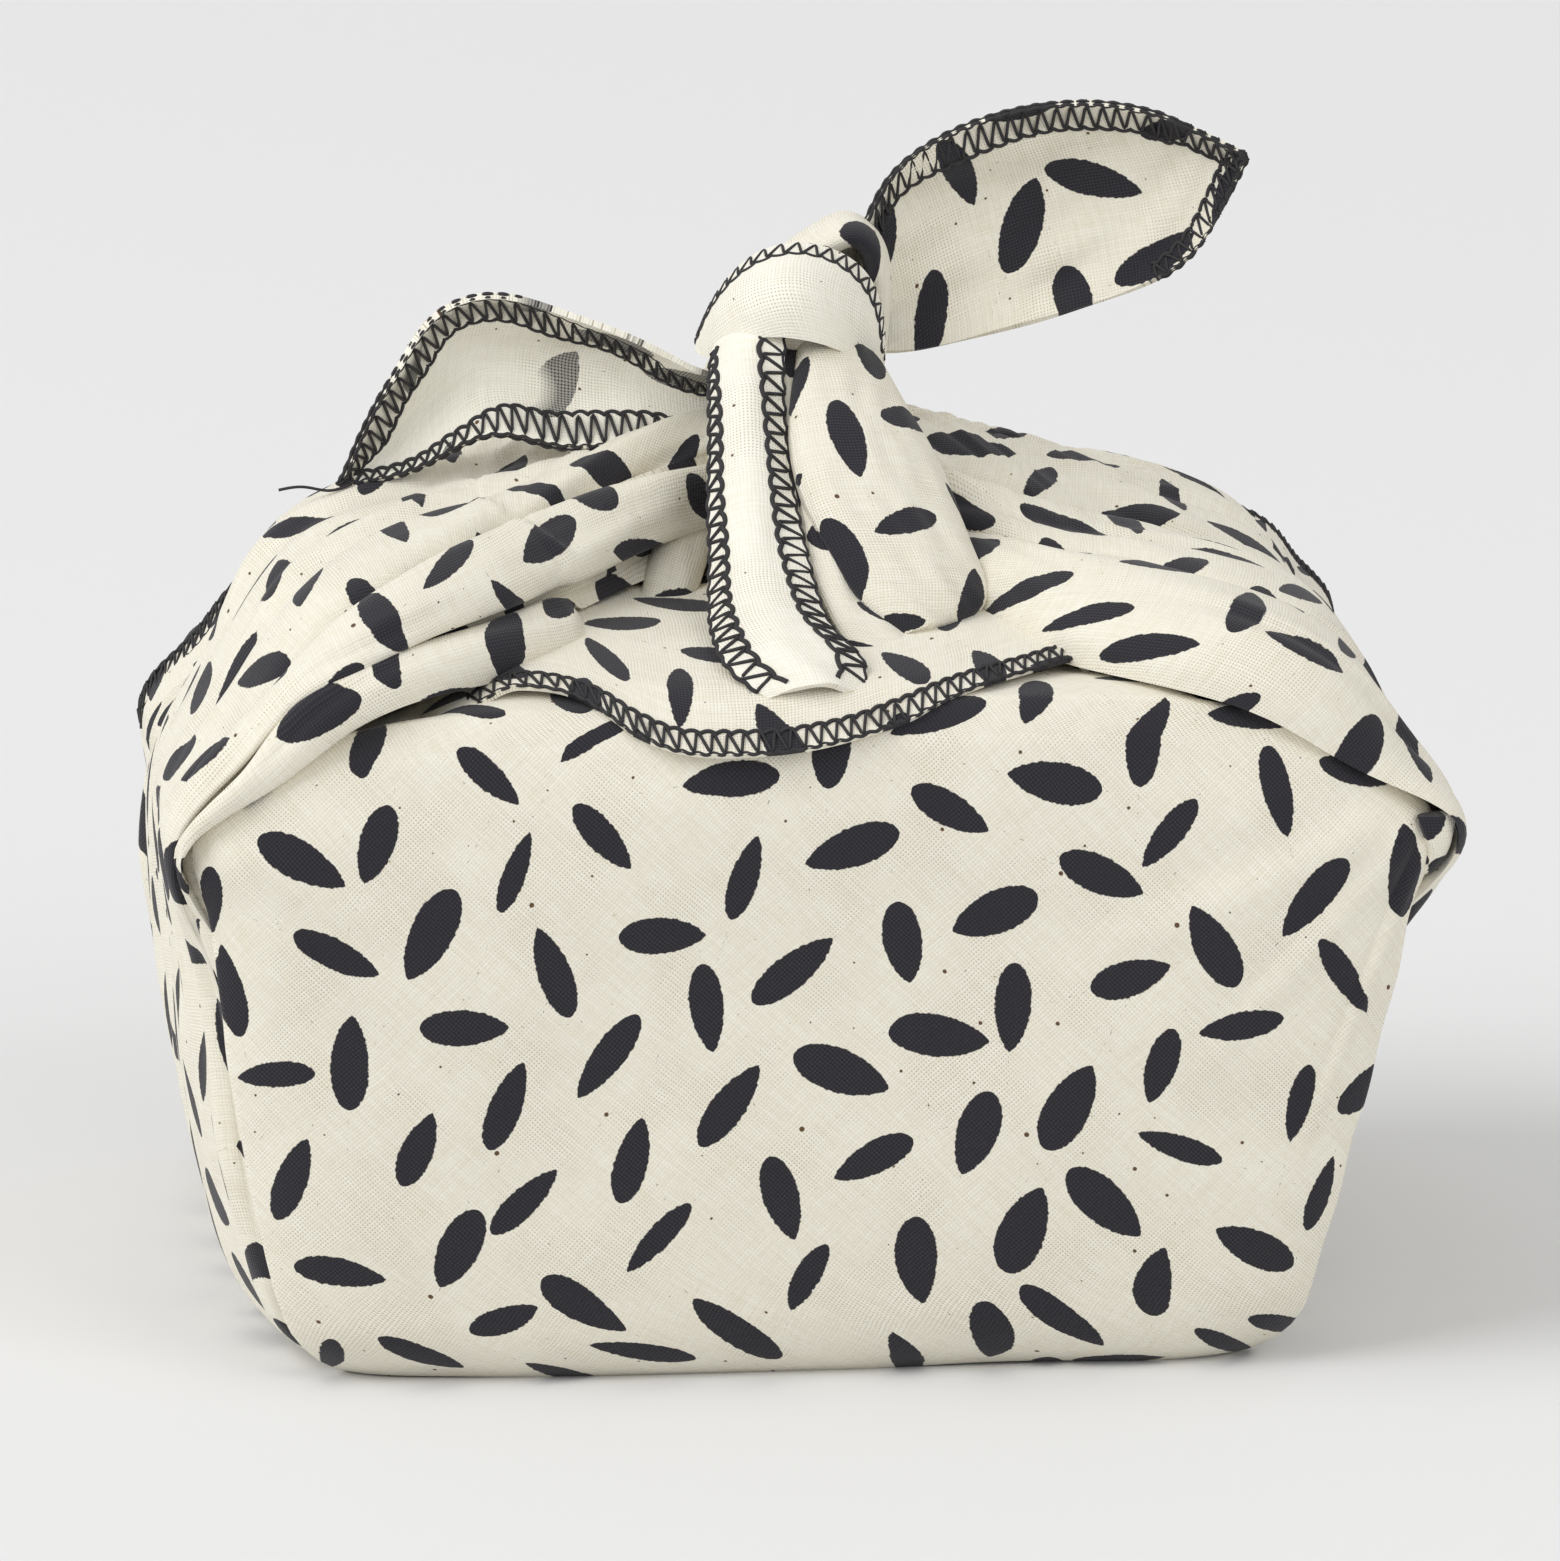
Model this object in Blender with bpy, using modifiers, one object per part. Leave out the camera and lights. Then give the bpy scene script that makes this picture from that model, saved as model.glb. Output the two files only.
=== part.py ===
"""Furoshiki wrap: one square of printed cotton folded round a tapered bundle and tied on top.

Metres, +Z up, the front towards -Y. The origin is the middle of the flat underside.
The whole cloth is one solid. It is joined from forms that each follow one stretch of the cloth:
the filled bundle, the panels folded over it, the two gathered wings, the knot and its two ends.
"""

import bpy
import numpy as np
from mathutils import Vector

CLOTH = 0.0016  # thickness of a free layer
OVERLAP = 0.0030  # how far a form reaches into the one that carries it

# The bundle: a tapered box shape with a domed top
RIM_HALF_WIDTH = 0.083
RIM_HALF_DEPTH = 0.067
RIM_FRONT = 0.087  # height of the rim at the middle of the front and the back
RIM_LEFT = 0.077  # of the left side
RIM_RIGHT = 0.071  # of the right side
RIM_CORNER = 0.075  # and at its four corners
CORNER_DROP = 5.0  # a larger power keeps the drop nearer to the corners
CROWN = 0.096  # height of the middle of the top
ROOF_POWERS = (2.6, 0.72)  # roundness of the dome and of its edge
RIM_SQUARENESS = 10.0

# Wall sections, from the floor to the rim, as shares of the rim's height and half sizes
WALL = (
    # height, left, right, front, back, squareness
    (0.000, 0.800, 0.700, 0.810, 0.810, 5.0),
    (0.030, 0.860, 0.758, 0.868, 0.865, 4.8),
    (0.095, 0.912, 0.798, 0.912, 0.905, 4.8),
    (0.240, 0.952, 0.832, 0.942, 0.936, 5.0),
    (0.480, 0.988, 0.892, 0.966, 0.962, 5.6),
    (0.720, 1.003, 0.940, 0.982, 0.980, 7.0),
    (0.900, 0.994, 0.960, 0.984, 0.984, 9.0),
    (1.000, 0.972, 0.942, 0.960, 0.960, 10.0),
)
ROOF_REACH = (0.97, 0.92, 0.84, 0.70, 0.42)

PANEL_PROUD = 0.0012  # how far the front and back panels stand off the bundle
PANEL_SQUARENESS = 11.0
PANEL_LIFT = 0.0006
PANEL_ROOF = ((0.97, 0.0012), (0.88, 0.0008), (0.72, -0.0012))  # reach and height over the dome
FLAP_PROUD = 0.0026
FLAP_DEPTH = 0.0046  # from the flap's face down to inside the bundle

# The back corner's flap: where its two hemmed edges and its tip lie, seen from above
FLAP_EDGE = (
    # x, y
    (-0.0620, -0.0540),
    (-0.0480, -0.0595),
    (-0.0349, -0.0602),
    (-0.0273, -0.0648),
    (-0.0200, -0.0685),
    (-0.0120, -0.0695),
    (0.0000, -0.0690),
    (0.0090, -0.0668),
    (0.0170, -0.0635),
    (0.0244, -0.0595),
    (0.0359, -0.0522),
    (0.0480, -0.0420),
)
FLAP_TIP_DROP = 0.0052
FLAP_BACK = 0.050

# Fold lines of the gathered wings, front to back, and the roll between a line and the next one
LEFT_WING = (
    # rim x, y, z, shoulder x, y, z, saddle x, y, z, neck y, z, roll
    (-0.0815, -0.0675, 0.0735, -0.0590, -0.0668, 0.0875, -0.0280, -0.0460, 0.0930, -0.017, 0.097, 0.0045),
    (-0.0825, -0.0650, 0.0755, -0.0660, -0.0625, 0.0915, -0.0420, -0.0480, 0.0980, -0.015, 0.103, 0.0045),
    (-0.0835, -0.0590, 0.0770, -0.0630, -0.0550, 0.0975, -0.0370, -0.0310, 0.1070, -0.011, 0.112, 0.0025),
    (-0.0840, -0.0300, 0.0775, -0.0690, -0.0220, 0.1000, -0.0400, -0.0080, 0.1090, -0.003, 0.117, 0.0015),
    (-0.0840, 0.0050, 0.0770, -0.0690, 0.0100, 0.1005, -0.0420, 0.0130, 0.1100, 0.004, 0.117, 0.0015),
    (-0.0825, 0.0380, 0.0720, -0.0690, 0.0330, 0.0925, -0.0400, 0.0260, 0.1030, 0.010, 0.111, 0.0015),
    (-0.0790, 0.0600, 0.0660, -0.0690, 0.0500, 0.0820, -0.0400, 0.0390, 0.0940, 0.015, 0.098, 0.0),
)
RIGHT_WING = (
    (0.0825, -0.0675, 0.0725, 0.0590, -0.0668, 0.0840, 0.0330, -0.0500, 0.0925, -0.015, 0.098, 0.0035),
    (0.0825, -0.0480, 0.0725, 0.0700, -0.0460, 0.0915, 0.0380, -0.0320, 0.1010, -0.011, 0.105, 0.0020),
    (0.0815, -0.0150, 0.0710, 0.0680, -0.0060, 0.0920, 0.0430, -0.0100, 0.1015, -0.007, 0.111, 0.0020),
    (0.0805, 0.0150, 0.0700, 0.0660, 0.0180, 0.0965, 0.0400, 0.0150, 0.1075, 0.003, 0.117, 0.0015),
    (0.0800, 0.0400, 0.0700, 0.0680, 0.0360, 0.0920, 0.0400, 0.0280, 0.1020, 0.009, 0.111, 0.0015),
    (0.0790, 0.0600, 0.0690, 0.0700, 0.0480, 0.0860, 0.0400, 0.0390, 0.0945, 0.015, 0.099, 0.0),
)
NECK_HALF_WIDTH = 0.0110
WING_FOOT = (0.93, 0.74)  # heights at which a wing's front and other lines leave the wall, as shares of the rim's
WING_INSET = (0.0045, 0.0028)  # and how deep in the wall they start
WING_DEPTH = 0.013  # how far a wing's hidden underside lies in the bundle
ROLL_POWER = 0.55  # under 1 makes round rolls with sharp valleys

# The knot
NECK = ((0.001, 0.0, 0.088), (0.002, -0.001, 0.105), (0.003, -0.002, 0.122))
NECK_RADII = (0.0150, 0.0125, 0.0105)
KNOT_MIDDLE = (0.0035, -0.0030, 0.1270)
KNOT_RADII = (0.0122, 0.0128, 0.0125)
COLLAR = (
    # x, y, z, half width, half thickness
    (-0.0030, 0.0050, 0.1230, 0.0060, 0.0030),
    (-0.0035, 0.0045, 0.1290, 0.0068, 0.0034),
    (0.0005, 0.0040, 0.1350, 0.0072, 0.0036),
    (0.0065, 0.0035, 0.1392, 0.0078, 0.0038),
    (0.0122, 0.0030, 0.1375, 0.0080, 0.0038),
    (0.0156, 0.0020, 0.1310, 0.0076, 0.0034),
    (0.0150, 0.0010, 0.1230, 0.0066, 0.0030),
)

# The strand that hangs in front of the knot, and the one behind it: middle line and half sizes
FRONT_STRAND = (
    # x, y, z, half width, half thickness
    (-0.0030, -0.0090, 0.1300, 0.0050, 0.0030),
    (-0.0066, -0.0195, 0.1215, 0.0044, 0.0024),
    (-0.0070, -0.0290, 0.1140, 0.0048, 0.0022),
    (-0.0070, -0.0390, 0.1070, 0.0056, 0.0022),
    (-0.0062, -0.0485, 0.1005, 0.0068, 0.0022),
    (-0.0030, -0.0570, 0.0960, 0.0080, 0.0022),
    (-0.0015, -0.0600, 0.0915, 0.0070, 0.0020),
)
FRONT_LOBE = (
    (0.0050, -0.0060, 0.1290, 0.0060, 0.0040),
    (0.0067, -0.0160, 0.1206, 0.0093, 0.0055),
    (0.0086, -0.0240, 0.1139, 0.0107, 0.0068),
    (0.0099, -0.0310, 0.1084, 0.0116, 0.0078),
    (0.0112, -0.0385, 0.1018, 0.0118, 0.0080),
    (0.0112, -0.0445, 0.0962, 0.0092, 0.0064),
    (0.0100, -0.0440, 0.0910, 0.0055, 0.0040),
)
BACK_STRAND = (
    (0.0020, 0.0060, 0.1300, 0.0070, 0.0035),
    (0.0010, 0.0160, 0.1210, 0.0100, 0.0045),
    (0.0000, 0.0240, 0.1120, 0.0125, 0.0055),
    (-0.0010, 0.0310, 0.1030, 0.0125, 0.0055),
    (-0.0010, 0.0350, 0.0940, 0.0080, 0.0040),
)

# The two free ends of the tied corners, as leaf outlines: lower edge, upper edge, hollow between
LEFT_EAR = (
    # lower x, y, z, upper x, y, z, hollow
    (-0.0020, 0.0000, 0.1150, -0.0010, -0.0030, 0.1260, 0.0000),
    (-0.0110, 0.0000, 0.1130, -0.0110, -0.0040, 0.1225, 0.0030),
    (-0.0220, 0.0010, 0.1135, -0.0220, -0.0060, 0.1280, 0.0060),
    (-0.0330, 0.0020, 0.1140, -0.0325, -0.0070, 0.1325, 0.0085),
    (-0.0430, 0.0020, 0.1125, -0.0425, -0.0070, 0.1340, 0.0085),
    (-0.0520, 0.0020, 0.1085, -0.0505, -0.0060, 0.1265, 0.0060),
    (-0.0590, 0.0015, 0.1065, -0.0585, -0.0020, 0.1120, 0.0015),
)
RIGHT_EAR = (
    (0.0060, 0.0020, 0.1250, 0.0060, 0.0020, 0.1390, 0.0000),
    (0.0150, 0.0020, 0.1235, 0.0125, 0.0020, 0.1450, 0.0030),
    (0.0300, 0.0020, 0.1265, 0.0265, 0.0000, 0.1543, 0.0055),
    (0.0440, 0.0020, 0.1312, 0.0400, -0.0010, 0.1575, 0.0060),
    (0.0540, 0.0020, 0.1362, 0.0510, -0.0010, 0.1555, 0.0045),
    (0.0605, 0.0020, 0.1445, 0.0585, 0.0000, 0.1525, 0.0015),
    (0.0632, 0.0020, 0.1495, 0.0628, 0.0010, 0.1512, 0.0000),
)

ROUND_COUNT = 60  # points round the bundle
WING_STEPS = 20
ROLL_STEPS = 5
STRAND_STEPS = 14
STRAND_COUNT = 14
EAR_STEPS = 18
EAR_COUNT = 10
FLAP_COUNT = 22
FLAP_ROWS = 7


def smooth_line(points, count):
    """A natural cubic spline through the points, sampled evenly by chord length."""
    points = np.asarray(points, float)
    chord = np.linalg.norm(np.diff(points, axis=0), axis=1)
    knots = np.concatenate([[0.0], np.cumsum(np.maximum(chord, 1e-5))])
    return cubic_through(knots, points, np.linspace(0.0, knots[-1], count))


def cubic_through(knots, values, at):
    """A natural cubic through values at knots, read at the places in at."""
    gap = np.diff(knots)
    last = len(knots) - 1
    system = np.eye(last + 1)
    right = np.zeros_like(values)
    for i in range(1, last):
        system[i, i - 1 : i + 2] = gap[i - 1], 2 * (gap[i - 1] + gap[i]), gap[i]
        slope = (values[i + 1] - values[i]) / gap[i] - (values[i] - values[i - 1]) / gap[i - 1]
        right[i] = 6 * slope
    bend = np.linalg.solve(system, right)
    i = np.clip(np.searchsorted(knots, at, side="right") - 1, 0, last - 1)
    width = gap[i]
    before = ((knots[i + 1] - at) / width)[:, None]
    after = 1 - before
    straight = before * values[i] + after * values[i + 1]
    curve = (before**3 - before) * bend[i] + (after**3 - after) * bend[i + 1]
    return straight + curve * (width[:, None] ** 2) / 6


def grid_mesh(name, grid, wrap):
    """A mesh of triangles from a grid of points: rows along it, columns across it.

    With wrap set the rows close round, and both ends are capped across from one side to the other.
    """
    rows, columns = grid.shape[:2]
    quads = []
    for r in range(rows - 1):
        for c in range(columns if wrap else columns - 1):
            d = (c + 1) % columns
            quads.append((r * columns + c, r * columns + d, (r + 1) * columns + d, (r + 1) * columns + c))
    if wrap:
        for c in range(columns // 2):
            d = columns - 1 - c
            if d - c > 1:
                near, far = c + 1, d - 1
                end = (rows - 1) * columns
                quads.append((d, far, near, c))
                quads.append((end + c, end + near, end + far, end + d))
    faces = []
    for a, b, c, d in quads:
        faces += [f for f in ((a, b, c), (a, c, d)) if len(set(f)) == 3]
    mesh = bpy.data.meshes.new(name)
    mesh.from_pydata([tuple(p) for p in grid.reshape(-1, 3)], [], faces)
    mesh.update()
    return mesh


def form(name, grid, wrap=True, thickness=0.0):
    """One stretch of the cloth, as a hidden form that the finished cloth is joined from."""
    mesh = grid_mesh(name, grid, wrap)
    obj = bpy.data.objects.new(name, mesh)
    if wrap and signed_volume(mesh) < 0:
        mesh.flip_normals()
    if thickness:
        shell = obj.modifiers.new("thickness", "SOLIDIFY")
        shell.thickness = thickness
        shell.offset = 0.0
    obj.display_type = "WIRE"
    obj.hide_render = True
    return obj


def signed_volume(mesh):
    """The volume inside a closed mesh, negative where its faces point inwards."""
    total = 0.0
    for face in mesh.polygons:
        points = [mesh.vertices[i].co for i in face.vertices]
        middle = sum(points, Vector()) / len(points)
        for a, b in zip(points, points[1:] + points[:1]):
            total += middle.dot(a.cross(b)) / 6
    return total


def rim_height(x_share, y_share):
    """Height of the rim towards a corner or the middle of a side."""
    wide, deep = abs(x_share), abs(y_share)
    near = np.minimum(wide, deep) / np.maximum(np.maximum(wide, deep), 1e-9)
    middle = np.where(deep > wide, RIM_FRONT, np.where(x_share < 0, RIM_LEFT, RIM_RIGHT))
    return middle - (middle - RIM_CORNER) * near**CORNER_DROP


def roof_height(x, y):
    """Height of the bundle's domed top over a point of the plan."""
    x_share, y_share = x / RIM_HALF_WIDTH, y / RIM_HALF_DEPTH
    reach = (abs(x_share) ** RIM_SQUARENESS + abs(y_share) ** RIM_SQUARENESS) ** (1 / RIM_SQUARENESS)
    rim = rim_height(x_share, y_share)
    dome, edge = ROOF_POWERS
    return rim + (CROWN - rim) * np.maximum(1 - np.minimum(reach, 1) ** dome, 0) ** edge


def plan_angles(count):
    """Angles round the plan, closer together where it turns a corner."""
    turn = np.linspace(0, 2 * np.pi, 2001)
    x = RIM_HALF_WIDTH * np.sign(np.cos(turn)) * abs(np.cos(turn)) ** (2 / RIM_SQUARENESS)
    y = RIM_HALF_DEPTH * np.sign(np.sin(turn)) * abs(np.sin(turn)) ** (2 / RIM_SQUARENESS)
    step = np.hypot(np.diff(x), np.diff(y))
    bend = np.abs(np.diff(np.unwrap(np.arctan2(np.diff(y), np.diff(x)))))
    measure = step / step.sum() + np.append(bend, 0) / bend.sum()
    run = np.concatenate([[0.0], np.cumsum(measure)])
    return np.interp(np.linspace(0, run[-1], count, endpoint=False), run, turn)


def wall_ring(row, turn, squareness=None, proud=0.0, lift=0.0):
    """One level section of the wall at the given angles."""
    height, left, right, front, back, power = row
    power = squareness or power
    c, s = np.cos(turn), np.sin(turn)
    width = np.where(c < 0, left, right) * RIM_HALF_WIDTH + proud
    depth = np.where(s < 0, front, back) * RIM_HALF_DEPTH + proud
    x = width * np.sign(c) * abs(c) ** (2 / power)
    y = depth * np.sign(s) * abs(s) ** (2 / power)
    z = height * rim_height(x / width, y / depth) + lift
    return np.stack([x, y, np.broadcast_to(z, x.shape)], axis=1)


def roof_ring(reach, turn, proud=0.0):
    """One section of the domed top, at a share of the rim's reach."""
    ring = wall_ring(WALL[-1], turn)
    x, y = ring[:, 0] * reach, ring[:, 1] * reach
    return np.stack([x, y, roof_height(x, y) + proud], axis=1)


def bundle():
    """The filled body of the wrap, with its flat underside."""
    turn = plan_angles(ROUND_COUNT)
    rings = [wall_ring(row, turn) for row in WALL]
    rings += [roof_ring(reach, turn) for reach in ROOF_REACH]
    return form("bundle", np.array(rings))


def panel(name, middle):
    """The front or back panel: it stands a layer proud, and its two side folds stick out past the wall."""
    turn = plan_angles(ROUND_COUNT * 2)
    away = np.abs((turn - middle + np.pi) % (2 * np.pi) - np.pi)
    turn = np.unwrap(turn[away < np.radians(50)])
    turn = np.sort((turn - middle + np.pi) % (2 * np.pi) - np.pi) + middle
    rings = []
    for row in WALL:
        outer = wall_ring(row, turn, PANEL_SQUARENESS, PANEL_PROUD, PANEL_LIFT)
        inner = wall_ring(row, turn, PANEL_SQUARENESS, PANEL_PROUD - OVERLAP, PANEL_LIFT)
        rings.append(np.concatenate([outer, inner[::-1]]))
    for reach, proud in PANEL_ROOF:
        outer = roof_ring(reach, turn, proud)
        inner = roof_ring(reach * 0.97, turn, proud - OVERLAP)
        rings.append(np.concatenate([outer, inner[::-1]]))
    return form(name, np.array(rings))


def flap():
    """The back corner drawn over the top, its tip hanging over the front edge."""
    edge = smooth_line([(x, y, 0.0) for x, y in FLAP_EDGE], FLAP_COUNT)
    rows = []
    for back in np.linspace(0, 1, FLAP_ROWS) ** 1.5:
        y = edge[:, 1] * (1 - back) + FLAP_BACK * back
        out = np.clip((-y - 0.0600) / 0.0095, 0, 1)
        height = roof_height(edge[:, 0], np.maximum(y, -RIM_HALF_DEPTH * 0.985))
        height = height - FLAP_TIP_DROP * out**2
        proud = FLAP_PROUD * (1 - 1.3 * back**3)
        rows.append(np.stack([edge[:, 0], y, height + proud - FLAP_DEPTH / 2], axis=1))
    return form("flap", np.array(rows), wrap=False, thickness=FLAP_DEPTH)


def wall_point(side, y, height, inset):
    """A point inside the side wall, at a share of the rim's height."""
    columns = np.array(WALL)
    reach = np.interp(height, columns[:, 0], columns[:, 1 if side < 0 else 2]) * RIM_HALF_WIDTH
    depth = np.interp(height, columns[:, 0], columns[:, 3]) * RIM_HALF_DEPTH
    power = np.interp(height, columns[:, 0], columns[:, 5])
    share = min(abs(y) / depth, 0.96)
    x = (reach - inset) * (1 - share**power) ** (1 / power)
    return (side * x, np.sign(y) * share * (depth - inset), height * RIM_CORNER)


def wing(name, lines):
    """A gathered corner: rolls between fold lines that run from the side wall over the top to the knot."""
    side = np.sign(lines[0][0])
    rails = []
    for line in lines:
        rim, shoulder, saddle = line[0:3], line[3:6], line[6:9]
        neck = (side * NECK_HALF_WIDTH, line[9], line[10])
        inside = (side * NECK_HALF_WIDTH * 0.3, line[9] * 0.6, line[10] + 0.001)
        back = np.clip((line[1] + 0.066) / 0.03, 0, 1)
        foot = wall_point(side, line[1] * 0.97, *(f + (o - f) * back for f, o in (WING_FOOT, WING_INSET)))
        slope = [rim[i] * 0.5 + shoulder[i] * 0.5 for i in range(3)]
        route = [foot, rim, slope, shoulder, saddle, neck, inside]
        rails.append(smooth_line(route, WING_STEPS))
    rails = np.array(rails)
    share = np.linspace(0, len(lines) - 1, (len(lines) - 1) * ROLL_STEPS + 1)
    within = share - np.floor(share)
    rolls = np.array([line[11] for line in lines])[np.minimum(share.astype(int), len(lines) - 1)]
    rings = []
    for step in range(WING_STEPS):
        along = step / (WING_STEPS - 1)
        curve = cubic_through(np.arange(len(lines), dtype=float), rails[:, step], share)
        before, after = rails[:, max(step - 1, 0)], rails[:, min(step + 1, WING_STEPS - 1)]
        run = cubic_through(np.arange(len(lines), dtype=float), after - before, share)
        out = np.cross(run, np.gradient(curve, axis=0))
        out *= -side / np.maximum(np.linalg.norm(out, axis=1), 1e-9)[:, None]
        swell = np.interp(along, (0.0, 0.22, 0.5, 1.0), (0.0, 0.35, 1.0, 0.7))
        curve = curve + out * (rolls * swell * (4 * within * (1 - within)) ** ROLL_POWER)[:, None]
        back = np.linspace(1, 0, len(curve))[:, None]
        chord = curve[0] + (curve[-1] - curve[0]) * back
        inward = np.array([0.0, 0.0, 0.055]) - chord.mean(axis=0)
        inward /= np.linalg.norm(inward)
        rings.append(np.concatenate([curve, chord + inward * WING_DEPTH]))
    return form(name, np.array(rings))


def strand(name, rows):
    """A folded strand or lobe: oval sections along a middle line, wide across and thin through."""
    line = smooth_line(np.array(rows)[:, :3], STRAND_STEPS)
    run = np.cumsum(np.append(0, np.linalg.norm(np.diff(np.array(rows)[:, :3], axis=0), axis=1)))
    sizes = cubic_through(run, np.array(rows)[:, 3:5], np.linspace(0, run[-1], STRAND_STEPS))
    ahead = np.gradient(line, axis=0)
    turn = np.linspace(0, 2 * np.pi, STRAND_COUNT, endpoint=False)
    rings = []
    for middle, forward, (wide, thick) in zip(line, ahead, sizes):
        forward = forward / np.linalg.norm(forward)
        across = np.cross(forward, (0.0, 1.0, 0.0)) if abs(forward[1]) < 0.5 else np.array([1.0, 0.0, 0.0])
        across = across - forward * across.dot(forward)
        across /= np.linalg.norm(across)
        through = np.cross(forward, across)
        rings.append(middle + np.outer(np.cos(turn) * wide, across) + np.outer(np.sin(turn) * thick, through))
    return form(name, np.array(rings))


def collar():
    """The band of cloth that goes round the knot, wide from front to back."""
    rows = np.array(COLLAR)
    line = smooth_line(rows[:, :3], STRAND_STEPS)
    ahead = np.gradient(line, axis=0)
    turn = np.linspace(0, 2 * np.pi, STRAND_COUNT, endpoint=False)
    rings = []
    for step, (middle, forward) in enumerate(zip(line, ahead)):
        wide, thick = np.array([np.interp(step / (STRAND_STEPS - 1), np.linspace(0, 1, len(rows)), c) for c in rows[:, 3:5].T])
        outward = np.cross(forward / np.linalg.norm(forward), (0.0, 1.0, 0.0))
        outward /= np.linalg.norm(outward)
        rings.append(middle + np.outer(np.cos(turn) * wide, (0.0, 1.0, 0.0)) + np.outer(np.sin(turn) * thick, outward))
    return form("collar", np.array(rings))


def neck():
    """The gathered trunk under the knot."""
    line = smooth_line(NECK, 5)
    radii = np.interp(np.linspace(0, 1, 5), np.linspace(0, 1, len(NECK_RADII)), NECK_RADII)
    turn = np.linspace(0, 2 * np.pi, 24, endpoint=False)
    rings = [
        middle + np.stack([np.cos(turn) * r, np.sin(turn) * r, turn * 0], axis=1)
        for middle, r in zip(line, radii)
    ]
    return form("neck", np.array(rings))


def knot():
    """The rounded heart of the knot."""
    bpy.ops.mesh.primitive_uv_sphere_add(segments=24, ring_count=14, radius=1.0, location=KNOT_MIDDLE)
    obj = bpy.context.object
    obj.name = "knot"
    obj.scale = KNOT_RADII
    bpy.ops.object.transform_apply(location=False, rotation=False, scale=True)
    obj.display_type = "WIRE"
    obj.hide_render = True
    for collection in list(obj.users_collection):
        collection.objects.unlink(obj)
    return obj


def ear(name, rows):
    """A free corner of the cloth: a leaf between its lower and upper edge, hollowed to the back."""
    rows = np.array(rows)
    lower = smooth_line(rows[:, 0:3], EAR_STEPS)
    upper = smooth_line(rows[:, 3:6], EAR_STEPS)
    hollow = np.interp(np.linspace(0, 1, EAR_STEPS), np.linspace(0, 1, len(rows)), rows[:, 6])
    grid = []
    for step in range(EAR_STEPS):
        across = np.linspace(0, 1, EAR_COUNT)[:, None]
        curve = lower[step] * (1 - across) + upper[step] * across
        curve[:, 1] += hollow[step] * 4 * across[:, 0] * (1 - across[:, 0])
        grid.append(curve)
    return form(name, np.array(grid), wrap=False, thickness=CLOTH)


def printed_cotton():
    """Unbleached cotton with dark printed marks, as one even colour."""
    material = bpy.data.materials.new("printed_cotton")
    material.use_nodes = True
    shader = material.node_tree.nodes["Principled BSDF"]
    shader.inputs["Base Color"].default_value = (0.80, 0.76, 0.66, 1.0)
    shader.inputs["Roughness"].default_value = 0.9
    shader.inputs["Metallic"].default_value = 0.0
    return material


def main():
    """Clears the scene, then joins the forms into the one cloth."""
    for obj in list(bpy.data.objects):
        bpy.data.objects.remove(obj)
    wrap = bpy.data.collections.new("furoshiki_wrap")
    forms = bpy.data.collections.new("forms")
    bpy.context.scene.collection.children.link(wrap)
    bpy.context.scene.collection.children.link(forms)
    forms.hide_render = True

    cloth = bundle()
    cloth.name = cloth.data.name = "cloth"
    cloth.display_type = "TEXTURED"
    cloth.hide_render = False
    cloth.data.materials.append(printed_cotton())
    wrap.objects.link(cloth)
    made = [
        panel("front_panel", 1.5 * np.pi),
        panel("back_panel", 0.5 * np.pi),
        flap(),
        wing("left_wing", LEFT_WING),
        wing("right_wing", RIGHT_WING),
        neck(),
        knot(),
        collar(),
        strand("front_strand", FRONT_STRAND),
        strand("front_lobe", FRONT_LOBE),
        strand("back_strand", BACK_STRAND),
        ear("left_ear", LEFT_EAR),
        ear("right_ear", RIGHT_EAR),
    ]
    for obj in made:
        forms.objects.link(obj)
    join = cloth.modifiers.new("join", "BOOLEAN")
    join.operation = "UNION"
    join.solver = "EXACT"
    join.operand_type = "COLLECTION"
    join.collection = forms


main()
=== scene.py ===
"""Looks of a tied furoshiki wrap: printed cotton, gathered corners, a knot and black overlock edging.

Every stretch of the cloth is a grid of points worked out with numpy. Tables are in millimetres and in
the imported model's own frame: +Z up, the front towards -Y, the origin in the middle of the underside.
"""

import logging
import math
from collections.abc import Iterator
from dataclasses import dataclass, field
from enum import Enum

import bmesh
import bpy
import numpy as np
from bpy.types import Material, Mesh, Node, NodeSocket, NodeTree, Object
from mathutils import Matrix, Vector
from numpy.typing import NDArray


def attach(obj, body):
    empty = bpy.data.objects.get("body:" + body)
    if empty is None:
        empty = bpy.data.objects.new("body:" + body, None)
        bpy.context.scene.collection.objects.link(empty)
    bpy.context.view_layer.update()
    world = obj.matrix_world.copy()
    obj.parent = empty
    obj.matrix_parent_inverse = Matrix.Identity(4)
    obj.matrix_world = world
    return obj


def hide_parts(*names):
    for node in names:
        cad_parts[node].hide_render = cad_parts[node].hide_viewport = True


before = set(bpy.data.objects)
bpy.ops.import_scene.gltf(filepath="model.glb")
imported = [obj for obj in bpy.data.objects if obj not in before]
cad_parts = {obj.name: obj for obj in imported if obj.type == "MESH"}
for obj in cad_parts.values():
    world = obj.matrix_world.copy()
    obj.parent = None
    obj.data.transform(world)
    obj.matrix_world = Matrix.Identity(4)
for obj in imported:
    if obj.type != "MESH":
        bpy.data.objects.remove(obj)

Array = NDArray[np.float64]
Index = NDArray[np.int64]
Rows = tuple[tuple[float, ...], ...]
Color = tuple[float, float, float]
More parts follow.
